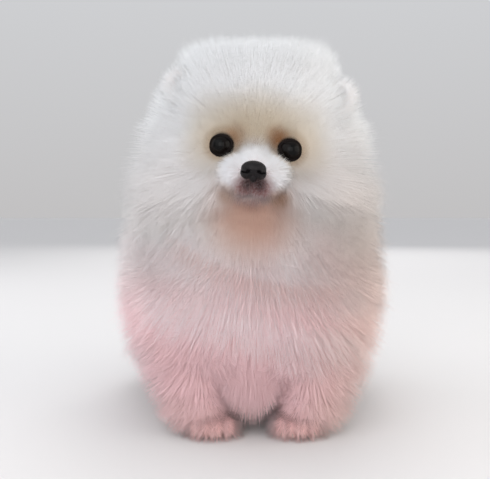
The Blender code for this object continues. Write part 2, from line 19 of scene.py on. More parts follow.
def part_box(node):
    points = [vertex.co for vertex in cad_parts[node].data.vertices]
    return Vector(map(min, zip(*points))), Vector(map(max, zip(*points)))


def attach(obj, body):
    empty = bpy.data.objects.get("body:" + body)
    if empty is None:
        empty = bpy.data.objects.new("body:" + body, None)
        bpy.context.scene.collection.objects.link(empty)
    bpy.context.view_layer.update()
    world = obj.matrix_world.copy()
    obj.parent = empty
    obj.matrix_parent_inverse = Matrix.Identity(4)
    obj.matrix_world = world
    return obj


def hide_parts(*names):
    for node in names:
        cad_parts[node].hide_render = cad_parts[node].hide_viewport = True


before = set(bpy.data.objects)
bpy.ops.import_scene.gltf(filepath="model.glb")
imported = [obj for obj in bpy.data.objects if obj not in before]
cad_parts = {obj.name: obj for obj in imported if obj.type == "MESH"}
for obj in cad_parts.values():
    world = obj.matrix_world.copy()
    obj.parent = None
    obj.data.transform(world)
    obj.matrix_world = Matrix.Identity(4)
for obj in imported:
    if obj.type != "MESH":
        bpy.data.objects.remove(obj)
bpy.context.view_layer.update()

LOG = logging.getLogger("spitz")
Colour = tuple[float, float, float]
Numbers = np.ndarray

HEAD_CENTRE = Vector((0.0, -0.050, 0.192))
HEAD_ROLL = math.radians(4.0)
EYE_PLACE = Vector((0.0216, -0.0210, 0.0))
EYE_RADIUS = 0.0090
EYE_OUTWARD = math.radians(14.0)
NOSE_PLACE = Vector((-0.0005, -0.0505, -0.0165))
EAR_PLACE = Vector((0.0475, -0.004, 0.0350))
EAR_TILT = math.radians(48.0)
FOREPAW = Vector((0.0285, -0.0500, 0.0))
HINDPAW = Vector((0.0440, 0.0760, 0.0))
RUMP_SWING = -0.003
SIDES = ((1, "left"), (-1, "right"))
TO_HEAD = Matrix.Translation(HEAD_CENTRE) @ Matrix.Rotation(HEAD_ROLL, 4, "Y")


def measured_step() -> Vector:
    """The step from the dog's plan to the frame, from where the two eyes are.

    Returns:
        The move that takes a place in the plan to the frame.
    """
    corners = [corner for _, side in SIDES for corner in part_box(f"eye_{side}")]
    middle = sum(corners, Vector()) / len(corners)
    step = middle - (HEAD_CENTRE + Vector((0.0, EYE_PLACE.y, 0.0)))
    return Vector((step.x, step.y, 0.0))


STEP = measured_step()


class Part(Enum):
    """The parts of the body that the coat is grown on."""

    HEAD = "head"
    MUZZLE = "muzzle"
    JAW = "jaw"
    EAR = "ear"
    RUFF = "ruff"
    TORSO = "torso"
    FORELEG = "foreleg"
    HINDLEG = "hindleg"
    PAW = "paw"
    TAIL = "tail"


def deselect() -> None:
    """Leaves edit mode and clears the selection."""
    if bpy.context.object and bpy.context.object.mode != "OBJECT":
        bpy.ops.object.mode_set(mode="OBJECT")
    bpy.ops.object.select_all(action="DESELECT")


def choose(things: Sequence[bpy.types.Object]) -> None:
    """Selects some objects and makes the first one active.

    Args:
        things: The objects to select.
    """
    deselect()
    for thing in things:
        thing.select_set(True)
    bpy.context.view_layer.objects.active = things[0]


def join(name: str, things: Sequence[bpy.types.Object]) -> bpy.types.Object:
    """Joins objects into one at the origin.

    Args:
        name: The joined piece's name.
        things: The objects to join.

    Returns:
        The joined piece, with its place in its mesh.
    """
    choose(things)
    bpy.ops.object.transform_apply(location=True, rotation=True, scale=True)
    if len(things) > 1:
        bpy.ops.object.join()
    piece = bpy.context.object
    bpy.context.scene.cursor.location = (0.0, 0.0, 0.0)
    bpy.ops.object.origin_set(type="ORIGIN_CURSOR")
    piece.name = name
    piece.data.name = name
    return piece


def apply(piece: bpy.types.Object, kind: str, **settings: object) -> None:
    """Adds one modifier to a piece and applies it.

    Args:
        piece: The piece to change.
        kind: The modifier's type.
        settings: The modifier's settings.
    """
    choose([piece])
    modifier = piece.modifiers.new(kind.lower(), kind)
    for name, value in settings.items():
        setattr(modifier, name, value)
    bpy.ops.object.modifier_apply(modifier=modifier.name)


def dress(piece: bpy.types.Object, finish: bpy.types.Material) -> None:
    """Gives a piece one material, in place of any that a cut has left on it.

    Args:
        piece: The piece to dress.
        finish: Its material.
    """
    piece.data.materials.clear()
    piece.data.materials.append(finish)


def remesh(piece: bpy.types.Object, size: float) -> None:
    """Rebuilds a piece as one even surface.

    Args:
        piece: The piece to rebuild.
        size: The width of one face.
    """
    choose([piece])
    piece.data.remesh_voxel_size = size
    bpy.ops.object.voxel_remesh()


@dataclass(frozen=True)
class Ball:
    """One rounded mass: its centre, its half sizes and its turn about Y, in the plan or in the head's own axes."""

    place: tuple[float, float, float]
    half: tuple[float, float, float]
    turn: float = 0.0
    on_head: bool = False

    def both(self) -> list["Ball"]:
        """This mass and its mirror image."""
        x, y, z = self.place
        return [self, Ball((-x, y, z), self.half, -self.turn, self.on_head)]

    def centre(self) -> Vector:
        """The centre, in the frame."""
        place = Vector(self.place)
        return (TO_HEAD @ place if self.on_head else place) + STEP

    def angle(self) -> float:
        """The whole turn about Y."""
        return self.turn + (HEAD_ROLL if self.on_head else 0.0)

    def add(self) -> bpy.types.Object:
        """Adds the mass to the scene as a rounded primitive."""
        deselect()
        bpy.ops.mesh.primitive_uv_sphere_add(segments=32, ring_count=20, radius=1.0, location=self.centre(),
                                             rotation=(0.0, self.angle(), 0.0), scale=self.half)
        return bpy.context.object

    def distance(self, points: Numbers) -> Numbers:
        """About how far points are outside the mass.

        Args:
            points: Places in the frame, one a row.

        Returns:
            One distance for each point, below 0 inside.
        """
        turn = np.array(Matrix.Rotation(-self.angle(), 3, "Y"))
        local = (points - np.array(self.centre())) @ turn.T
        level = np.linalg.norm(local / np.array(self.half), axis=1)
        return (level - 1.0) * min(self.half)


@dataclass(frozen=True)
class Section:
    """One oval section of the coat's outer form: its centre, half width along X and half height across the form."""

    x: float
    y: float
    z: float
    wide: float
    high: float


class CoatForm:
    """The outer surface of the coat on one part, through its sections."""

    def __init__(self, sections: Sequence[Section], squareness: float, place: Matrix | None = None) -> None:
        """Lays the sections along one straight axis.

        Args:
            sections: The sections, from one end to the other.
            squareness: 2 for ovals, and more for fuller corners.
            place: Where the form's own axes stand in the plan.
        """
        self.square = squareness
        self.back = np.array((Matrix.Translation(STEP) @ (place or Matrix.Identity(4))).inverted())
        self.centres = np.array([(s.x, s.y, s.z) for s in sections])
        self.sizes = np.array([(s.wide, s.high) for s in sections])
        along = (self.centres[-1] - self.centres[0]) * np.array((0.0, 1.0, 1.0))
        self.axis = along / np.linalg.norm(along)
        self.up = np.cross(self.axis, (1.0, 0.0, 0.0))
        self.shares = (self.centres - self.centres[0]) @ self.axis

    def level(self, points: Numbers) -> Numbers:
        """How far out points are: below 1 inside the form, and above 1 outside.

        Args:
            points: Places in the frame, one a row.

        Returns:
            One level for each point.
        """
        local = points @ self.back[:3, :3].T + self.back[:3, 3]
        share = (local - self.centres[0]) @ self.axis
        off = local - np.stack([np.interp(share, self.shares, self.centres[:, k]) for k in range(3)], axis=1)
        wide, high = (np.interp(share, self.shares, self.sizes[:, k]) for k in range(2))
        across = (np.abs(off[:, 0]) / wide) ** self.square
        upward = (np.abs(off @ self.up) / high) ** self.square
        level = (across + upward) ** (1.0 / self.square)
        past = np.maximum(self.shares[0] - share, share - self.shares[-1])
        return np.where(past > 0, np.maximum(level, 1.0 + past * 50.0), level)


@dataclass
class Body:
    """The flesh under the coat, as rounded masses grown together into one skin."""

    face_size: float = 0.0017
    smoothing: int = 5
    masses: dict[Part, list[Ball]] = field(default_factory=dict)

    def __post_init__(self) -> None:
        """Lists the masses of every part."""
        self.masses = {
            Part.HEAD: [
                Ball((0, 0.020, 0.012), (0.050, 0.044, 0.042), on_head=True),
                Ball((0, 0.000, 0.016), (0.040, 0.024, 0.032), on_head=True),
                *Ball((0.024, 0.000, -0.008), (0.024, 0.022, 0.022), on_head=True).both(),
                *Ball((EYE_PLACE.x, -0.0145, 0.0), (0.0170, 0.0125, 0.0160), on_head=True).both(),
            ],
            Part.MUZZLE: [
                Ball((0, -0.0180, -0.0120), (0.0165, 0.0150, 0.0110), on_head=True),
                *Ball((0.0070, -0.0330, -0.0175), (0.0088, 0.0118, 0.0080), on_head=True).both(),
                Ball((0, -0.0340, -0.0135), (0.0078, 0.0122, 0.0072), on_head=True),
            ],
            Part.JAW: [Ball((0, -0.0120, -0.0280), (0.0090, 0.0180, 0.0044), on_head=True)],
            Part.EAR: Ball(tuple(EAR_PLACE), (0.0105, 0.0050, 0.0150), turn=EAR_TILT, on_head=True).both(),
            Part.RUFF: [
                Ball((0, -0.031, 0.154), (0.056, 0.046, 0.044)),
                Ball((0, -0.014, 0.120), (0.060, 0.048, 0.038)),
            ],
            Part.TORSO: [
                Ball((0, -0.026, 0.100), (0.058, 0.044, 0.048)),
                Ball((-0.002, 0.022, 0.101), (0.066, 0.058, 0.053)),
                Ball((-0.004, 0.064, 0.102), (0.064, 0.050, 0.050)),
                Ball((-0.005, 0.090, 0.102), (0.052, 0.030, 0.042)),
                Ball((-0.001, -0.056, 0.058), (0.016, 0.013, 0.034)),
            ],
            Part.FORELEG: [
                *Ball((0.0380, -0.037, 0.066), (0.0175, 0.0185, 0.0260)).both(),
                *Ball((0.0380, -0.044, 0.040), (0.0175, 0.0185, 0.0240)).both(),
                *Ball((0.0350, -0.047, 0.020), (0.0160, 0.0170, 0.0140)).both(),
            ],
            Part.HINDLEG: [
                *Ball((0.0490, 0.068, 0.066), (0.0300, 0.0320, 0.0310)).both(),
                *Ball((0.0520, 0.070, 0.036), (0.0280, 0.0310, 0.0290)).both(),
            ],
            Part.PAW: [*self.paw(FOREPAW), *self.paw(HINDPAW)],
            Part.TAIL: [
                Ball((-0.006, 0.104, 0.140), (0.013, 0.012, 0.013)),
                Ball((-0.006, 0.116, 0.154), (0.014, 0.013, 0.014)),
                Ball((-0.006, 0.112, 0.170), (0.016, 0.014, 0.013)),
                Ball((-0.006, 0.096, 0.181), (0.018, 0.015, 0.011)),
                Ball((-0.005, 0.077, 0.185), (0.016, 0.015, 0.010)),
                Ball((-0.004, 0.061, 0.187), (0.010, 0.010, 0.007)),
            ],
        }

    def paw(self, place: Vector) -> list[Ball]:
        """The pad and four toes of a left paw, and their mirror images.

        Args:
            place: The middle of the paw on the floor.

        Returns:
            The masses of both paws.
        """
        masses = Ball((place.x, place.y, 0.0075), (0.0150, 0.0185, 0.0100)).both()
        for toe in range(4):
            across = (toe - 1.5) / 1.5
            forward = 0.0150 - 0.0042 * abs(across)
            masses += Ball((place.x + across * 0.0105, place.y - forward, 0.0066), (0.0051, 0.0080, 0.0068)).both()
        return masses

    def build(self) -> bpy.types.Object:
        """Grows the masses together into one closed skin with hollow ears, sunk eyes and flat soles.

        Returns:
            The skin.
        """
        skin = join("skin", [ball.add() for balls in self.masses.values() for ball in balls])
        remesh(skin, self.face_size)
        ear = Ball((EAR_PLACE.x, EAR_PLACE.y - 0.0058, EAR_PLACE.z + 0.001), (0.0070, 0.0052, 0.0110),
                   turn=EAR_TILT, on_head=True)
        eye = Ball((EYE_PLACE.x + 0.0020, -0.0310, 0.0), (0.0063, 0.0088, 0.0061), on_head=True)
        for ball in (*ear.both(), *eye.both()):
            hollow = ball.add()
            apply(skin, "BOOLEAN", operation="DIFFERENCE", solver="MANIFOLD", object=hollow)
            bpy.data.objects.remove(hollow)
        remesh(skin, self.face_size)
        apply(skin, "SMOOTH", factor=0.5, iterations=self.smoothing)
        for point in skin.data.vertices:
            point.co.z = max(point.co.z, 0.0004)
        choose([skin])
        bpy.ops.object.shade_smooth()
        return skin

    def parts_at(self, points: Numbers) -> dict[Part, Numbers]:
        """How far points are from each part's own flesh.

        Args:
            points: Places in the frame, one a row.

        Returns:
            One distance for each point, for every part.
        """
        return {part: np.min([ball.distance(points) for ball in balls], axis=0)
                for part, balls in self.masses.items()}


class Socket:
    """A shader number that adds, takes away, multiplies and divides as plain numbers do."""

    def __init__(self, tree: "Tree", socket: bpy.types.NodeSocket) -> None:
        """Wraps one output of a tree's node."""
        self.tree = tree
        self.socket = socket

    def _maths(self, operation: str, first: object, second: object) -> "Socket":
        """One Math node of two values."""
        return self.tree.value("ShaderNodeMath", {"operation": operation}, {0: first, 1: second})

    def __add__(self, other: object) -> "Socket":
        """The sum."""
        return self._maths("ADD", self, other)

    __radd__ = __add__

    def __sub__(self, other: object) -> "Socket":
        """The difference."""
        return self._maths("SUBTRACT", self, other)

    def __rsub__(self, other: object) -> "Socket":
        """The difference from a plain number."""
        return self._maths("SUBTRACT", other, self)

    def __mul__(self, other: object) -> "Socket":
        """The product."""
        return self._maths("MULTIPLY", self, other)

    __rmul__ = __mul__

    def __truediv__(self, other: object) -> "Socket":
        """The quotient."""
        return self._maths("DIVIDE", self, other)


class Tree:
    """The node tree of one finish."""

    def __init__(self, name: str) -> None:
        """Starts a finish with its shader.

        Args:
            name: The finish's name.
        """
        self.material = bpy.data.materials.new(name)
        self.material.use_nodes = True
        self.nodes = self.material.node_tree.nodes
        self.links = self.material.node_tree.links
        self.shader = self.nodes["Principled BSDF"]
        self.place = self.value("ShaderNodeTexCoord", {}, {}, "Object")

    def node(self, kind: str, settings: dict[str, object], inputs: dict[object, object]) -> bpy.types.Node:
        """Adds one node.

        Args:
            kind: The node's type.
            settings: What is set on the node first. "stops" are a ramp's places and colours.
            inputs: Values or links, by the socket's number or name.

        Returns:
            The node.
        """
        made = self.nodes.new(kind)
        for name, value in settings.items():
            if name == "stops":
                self._set_stops(made, value)
            else:
                setattr(made, name, value)
        for key, value in inputs.items():
            self.feed(made.inputs[key], value)
        return made

    def _set_stops(self, ramp: bpy.types.Node, stops: Iterable[tuple[float, Colour]]) -> None:
        """Sets the stops of a colour ramp."""
        elements = ramp.color_ramp.elements
        for number, (place, colour) in enumerate(stops):
            stop = elements[number] if number < len(elements) else elements.new(place)
            stop.position = place
            stop.color = (*colour, 1.0)

    def feed(self, socket: bpy.types.NodeSocket, value: object) -> None:
        """Links or sets one socket.

        Args:
            socket: The input to feed.
            value: A Socket, a number, or a colour or vector.
        """
        if isinstance(value, Socket):
            self.links.new(value.socket, socket)
        elif isinstance(value, (tuple, Vector)) and socket.type == "RGBA":
            socket.default_value = (*value, 1.0)
        else:
            socket.default_value = value

    def value(self, kind: str, settings: dict[str, object], inputs: dict[object, object],
              output: object = 0) -> Socket:
        """Adds one node and gives one of its outputs."""
        return Socket(self, self.node(kind, settings, inputs).outputs[output])

    def mix(self, mask: object, first: object, second: object) -> Socket:
        """The first colour, with the second one laid over it by a mask.

        Args:
            mask: A number from 0 to 1.
            first: The colour where the mask is 0.
            second: The colour where the mask is 1.

        Returns:
            The mixed colour.
        """
        made = self.node("ShaderNodeMix", {"data_type": "RGBA"}, {0: mask})
        self.feed(made.inputs[6], first)
        self.feed(made.inputs[7], second)
        return Socket(self, made.outputs[2])

    def fade(self, number: Socket, start: float, end: float) -> Socket:
        """1 up to a start, falling smoothly to 0 at an end.

        Args:
            number: What the mask is made from.
            start: Where it is 1.
            end: Where it is 0.

        Returns:
            The mask.
        """
        return self.value("ShaderNodeMapRange", {"interpolation_type": "SMOOTHSTEP"},
                          {0: number, 1: start, 2: end, 3: 1.0, 4: 0.0})

    def patch(self, place: Vector, inner: float, outer: float) -> Socket:
        """A mask that is 1 round a place of the dog's plan and fades to 0.

        Args:
            place: The patch's centre, in the head's own axes.
            inner: The radius where it starts to fade.
            outer: The radius where it ends.

        Returns:
            The mask.
        """
        centre = TO_HEAD @ place + STEP
        distance = self.value("ShaderNodeVectorMath", {"operation": "DISTANCE"}, {0: self.place, 1: centre}, "Value")
        return self.fade(distance, inner, outer)

    def noise(self, scale: float, detail: float = 2.0) -> Socket:
        """Soft noise from 0 to 1.

        Args:
            scale: How many waves to a metre.
            detail: How many finer layers it has.

        Returns:
            The noise.
        """
        return self.value("ShaderNodeTexNoise", {}, {"Vector": self.place, "Scale": scale, "Detail": detail}, 0)

    def bump(self, height: Socket, strength: float, distance: float) -> Socket:
        """A bumped normal.

        Args:
            height: The surface's height.
            strength: From 0 to 1.
            distance: The height of 1, in metres.

        Returns:
            The normal.
        """
        return self.value("ShaderNodeBump", {}, {"Height": height, "Strength": strength, "Distance": distance}, 0)

    def finish(self, **inputs: object) -> bpy.types.Material:
        """Feeds the shader and gives the material.

        Args:
            inputs: Values or links by the shader's socket names, with _ for a space.

        Returns:
            The finished material.
        """
        for name, value in inputs.items():
            self.feed(self.shader.inputs[name.replace("_", " ")], value)
        return self.material


@dataclass(frozen=True)
class CoatColours:
    """Where the coat is cool white, cream or stained, with painted pink reflected light low on the body, painted peach
    reflected light low on its left side, and painted shade round the eyes, under the chin and beneath the front
    fringes. The skin and the hair share it.
    """

    crown: Colour = (0.94, 0.96, 0.98)
    body: Colour = (0.95, 0.91, 0.90)
    # belly: painted pink reflected light from below, on fur that is white
    belly_reflected_pink: Colour = (0.98, 0.66, 0.69)
    # feet: a real tan stain under painted pink reflected light
    feet_stain_and_reflected_pink: Colour = (0.82, 0.55, 0.54)
    # painted peach reflected light, for the lower left side
    side_reflected_peach: Colour = (0.95, 0.76, 0.62)
    snout: Colour = (0.84, 0.86, 0.90)
    # painted shade under the overhanging fringes of the bib and chest
    shade_under_fringe: Colour = (0.84, 0.62, 0.56)
    tear: Colour = (0.34, 0.14, 0.04)
    # painted shade in the hollows round the eyes, partly a real stain
    shade: Colour = (0.62, 0.52, 0.36)
    # ring: painted shade right round each eye
    ring: Colour = (0.46, 0.36, 0.24)
    # chin: a real stain round the mouth with painted shade under the chin and on the throat
    chin: Colour = (0.72, 0.43, 0.32)
    lip: Colour = (0.20, 0.05, 0.045)
    dark: Colour = (0.016, 0.013, 0.015)

    def colour(self, tree: Tree) -> Socket:
        """The coat's colour at every place.

        Args:
            tree: The finish that needs it.

        Returns:
            The colour.
        """
        parted = tree.node("ShaderNodeSeparateXYZ", {}, {0: tree.place})
        height = Socket(tree, parted.outputs[2]) / 0.27
        # Height ramp: painted pink reflected light low on the body and legs, over a real tan stain on the feet, rising
        # to cream and a cool white crown.
        colour = tree.value("ShaderNodeValToRGB", {"stops": (
            (0.0, self.feet_stain_and_reflected_pink), (0.11, self.belly_reflected_pink), (0.28, self.belly_reflected_pink), (0.52, self.body), (0.78, self.crown),
            (1.0, self.crown))}, {0: height + (tree.noise(30.0) - 0.5) * 0.12}, 0)
        across = Socket(tree, parted.outputs[0]) - STEP.x
        square = across * across
        level = Socket(tree, parted.outputs[2]) - square * Coat.curl + across * Coat.tilt
        front = tree.fade(Socket(tree, parted.outputs[1]), -0.074, -0.054) * tree.fade(square, 0.0018, 0.0042)
        fringe = tree.value("ShaderNodeAttribute", {"attribute_name": "fringe"}, {}, "Fac")
        # Painted shade: a darker band just beneath each of the two front fringes, on the front only, and not on the
        # fringe tufts themselves.
        for edge, depth, strength in ((0.106, 0.020, 0.36), (0.065, 0.018, 0.20)):
            under = tree.fade(level, edge - 0.003, edge - depth) * tree.fade(level, edge, edge + 0.006)
            shade_under_fringe = tree.value("ShaderNodeVectorMath", {"operation": "MULTIPLY"}, {0: colour, 1: self.shade_under_fringe}, 0)
            colour = tree.mix(under * front * strength * (1 - fringe), colour, shade_under_fringe)
        # Painted light on the fringe tufts: their hanging tips are lightened towards the crown's white.
        colour = tree.mix(fringe * 0.45, colour, self.crown)
        # Painted peach reflected light, strongest low on the dog's left side (+X).
        aside = tree.fade(across, 0.100, 0.015)
        low = tree.fade(height, 0.46, 0.70)
        colour = tree.mix(aside * low * 0.55, colour, self.side_reflected_peach)
        speckle = tree.noise(700.0, 1.0)
        # Painted shade between the eyes under the brow, partly a real stain; and painted shade under the chin and
        # mouth, partly a real stain.
        for x, y, z, inner, outer, strength, tint in (
            (0.0, -0.030, 0.0130, 0.006, 0.034, 0.70, self.shade),
            (0.0, -0.020, -0.0440, 0.012, 0.044, 0.85, self.chin),
        ):
            colour = tree.mix(tree.patch(Vector((x, y, z)), inner, outer) * strength, colour, tint)
        # Painted shade in the hollow round each eye.
        for side, strength in ((1, 0.85), (-1, 0.40)):
            eye_hollow_shade_mask = tree.patch(Vector((EYE_PLACE.x * side * 1.15, -0.026, 0.0060)), 0.008, 0.036)
            colour = tree.mix(eye_hollow_shade_mask * 0.62, colour, self.shade)
        muzzle = tree.patch(Vector((0, -0.040, -0.0135)), 0.018, 0.028)
        colour = tree.mix(muzzle * 0.9, colour, self.snout)
        # Painted shade in a ring right round each eye.
        for side, strength in ((1, 0.95), (-1, 0.55)):
            ring = tree.patch(Vector((EYE_PLACE.x * side, -0.027, 0.0010)), 0.0090, 0.0150)
            colour = tree.mix(ring * 0.60, colour, self.ring)
            corner = tree.patch(Vector((EYE_PLACE.x * side * 0.62, -0.030, 0.0075)), 0.0020, 0.0115)
            colour = tree.mix(corner * strength * (speckle * 0.8 + 0.6), colour, self.tear)
            rim = tree.patch(Vector((EYE_PLACE.x * side, -0.028, 0.0006)), 0.0066, 0.0092)
            colour = tree.mix(rim * 0.90, colour, self.dark)
        for x, y, z, inner, outer, strength, tint in (
            (0.0, -0.044, -0.0310, 0.0085, 0.0190, 0.90, self.lip),
            (0.0175, -0.038, -0.0330, 0.0020, 0.0110, 0.75, self.tear),
            (-0.0165, -0.038, -0.0315, 0.0015, 0.0100, 0.50, self.tear),
            (0.0, -0.048, -0.0275, 0.0070, 0.0118, 0.96, self.dark),
        ):
            mouth = tree.patch(Vector((x, y, z)), inner, outer)
            colour = tree.mix(mouth * strength * (speckle * 0.9 + 0.5), colour, tint)
        return colour


@dataclass(frozen=True)
class HairFinish:
    """Fine, soft white hair: brighter at the tips, with painted shade darkening it towards the roots, and a little
    difference from tuft to tuft.
    """

    name: str = "coat_hair"
    colours: CoatColours = CoatColours()
    roughness: float = 0.85

    def make(self) -> bpy.types.Material:
        """Makes the finish."""
        tree = Tree(self.name)
        colour = self.colours.colour(tree)
        reach = tree.value("ShaderNodeAttribute", {"attribute_name": "reach"}, {}, "Fac")
        shade = tree.value("ShaderNodeAttribute", {"attribute_name": "shade"}, {}, "Fac")
        # Painted shade deep in the coat: darker and warmer towards each tuft's root.
        root_shade = tree.value("ShaderNodeVectorMath", {"operation": "MULTIPLY"}, {0: colour, 1: (0.96, 0.88, 0.85)}, 0)
        colour = tree.mix(reach * 1.15 - 0.05, root_shade, colour)
        darker = tree.value("ShaderNodeVectorMath", {"operation": "MULTIPLY"}, {0: colour, 1: (0.985, 0.98, 0.975)}, 0)
        colour = tree.mix(shade, darker, colour)
        return tree.finish(Base_Color=colour, Roughness=self.roughness, Specular_IOR_Level=0.08,
                           Sheen_Weight=0.35, Sheen_Roughness=0.6)


@dataclass(frozen=True)
class SkinFinish:
    """Skin under the coat, with the coat's stains, painted shade and painted reflected light, and a fine, short nap."""

    name: str = "coat_skin"
    colours: CoatColours = CoatColours()

    def make(self) -> bpy.types.Material:
        """Makes the finish."""
        tree = Tree(self.name)
        colour = self.colours.colour(tree)
        under = tree.value("ShaderNodeVectorMath", {"operation": "MULTIPLY"}, {0: colour, 1: (0.70, 0.62, 0.60)}, 0)
        nap = tree.bump(tree.noise(1800.0, 3.0), 0.5, 0.0006)
        return tree.finish(Base_Color=under, Roughness=0.8, Specular_IOR_Level=0.2, Normal=nap)


@dataclass(frozen=True)
class EyeFinish:
    """A nearly black eye: dark pupil and iris under a wet, clear front, and a dull rim where the white is hidden."""

    name: str = "eye"
    pupil: Colour = (0.002, 0.002, 0.002)
    iris: Colour = (0.0040, 0.0026, 0.0022)
    white: Colour = (0.006, 0.0045, 0.004)
    side: int = 1

    def make(self) -> bpy.types.Material:
        """Makes the finish."""
        tree = Tree(f"{self.name}_{'left' if self.side > 0 else 'right'}")
        front = Vector((math.sin(EYE_OUTWARD) * self.side, -math.cos(EYE_OUTWARD), 0.0))
        pole = EYE_PLACE * 1.0
        pole.x *= self.side
        centre = TO_HEAD @ (pole + front * EYE_RADIUS) + STEP
        distance = tree.value("ShaderNodeVectorMath", {"operation": "DISTANCE"}, {0: tree.place, 1: centre}, "Value")
        streak = (tree.noise(900.0, 4.0) - 0.5) * 0.0012
        colour = tree.mix(tree.fade(distance + streak, 0.0029, 0.0036), self.iris, self.pupil)
        colour = tree.mix(tree.fade(distance, 0.0066, 0.0074), self.white, colour)
        return tree.finish(Base_Color=colour, Roughness=0.5, Specular_IOR_Level=0.0,
                           Coat_Weight=0.4, Coat_Roughness=0.10, Coat_IOR=1.34)


@dataclass(frozen=True)
class LeatherFinish:
    """Dark, pebbled, slightly wet skin, as on the nose."""

    name: str
    colour: Colour
    light: Colour
    roughness: float
    pebble: float
    depth: float
    wet: float

    def make(self) -> bpy.types.Material:
        """Makes the finish."""
        tree = Tree(self.name)
        cells = tree.value("ShaderNodeTexVoronoi", {"feature": "DISTANCE_TO_EDGE"},
                           {"Vector": tree.place, "Scale": self.pebble}, "Distance")
        raised = tree.value("ShaderNodeMapRange", {}, {0: cells, 1: 0.0, 2: 0.22, 3: 0.0, 4: 1.0}) * 1.0
        colour = tree.mix(tree.noise(500.0) * raised, self.colour, self.light)
        rough = self.roughness + tree.noise(900.0) * 0.18
        height = raised + tree.noise(2500.0) * 0.25
        return tree.finish(Base_Color=colour, Roughness=rough, Specular_IOR_Level=0.12,
                           Coat_Weight=self.wet, Coat_Roughness=0.18,
                           Normal=tree.bump(height, 0.8, self.depth))


@dataclass(frozen=True)
class ClawFinish:
    """Horn, darker at the root."""

    name: str = "claw_horn"

    def make(self) -> bpy.types.Material:
        """Makes the finish."""
        tree = Tree(self.name)
        grain = tree.noise(1500.0)
        colour = tree.mix(grain, (0.30, 0.20, 0.16), (0.62, 0.50, 0.42))
        return tree.finish(Base_Color=colour, Roughness=0.35 + grain * 0.15, Specular_IOR_Level=0.5)


@dataclass(frozen=True)
class FloorFinish:
    """A plain pale floor."""

    name: str = "floor_pale"
    colour: Colour = (0.76, 0.74, 0.735)

    def make(self) -> bpy.types.Material:
        """Makes the finish."""
        tree = Tree(self.name)
        colour = tree.mix(tree.noise(6.0) * 0.2, self.colour, tuple(part * 0.95 for part in self.colour))
        return tree.finish(Base_Color=colour, Roughness=0.7, Specular_IOR_Level=0.2)


@dataclass(frozen=True)
class Growth:
    """How the coat grows on one part: the longest hair, how it stands and lies, and how much it clings together."""

    longest: float
    stand: float
    lie: float
    clump: float
    forms: tuple[str, ...] = ()
    soft: float = 0.78


@dataclass(frozen=True)
class Patch:
    """One piece of the coat: how many tufts it has, how wide and how bent they are, and if they hang as a fringe."""

    name: str
    count: int
    wide: float
    bends: int = 1
    fringe: bool = False


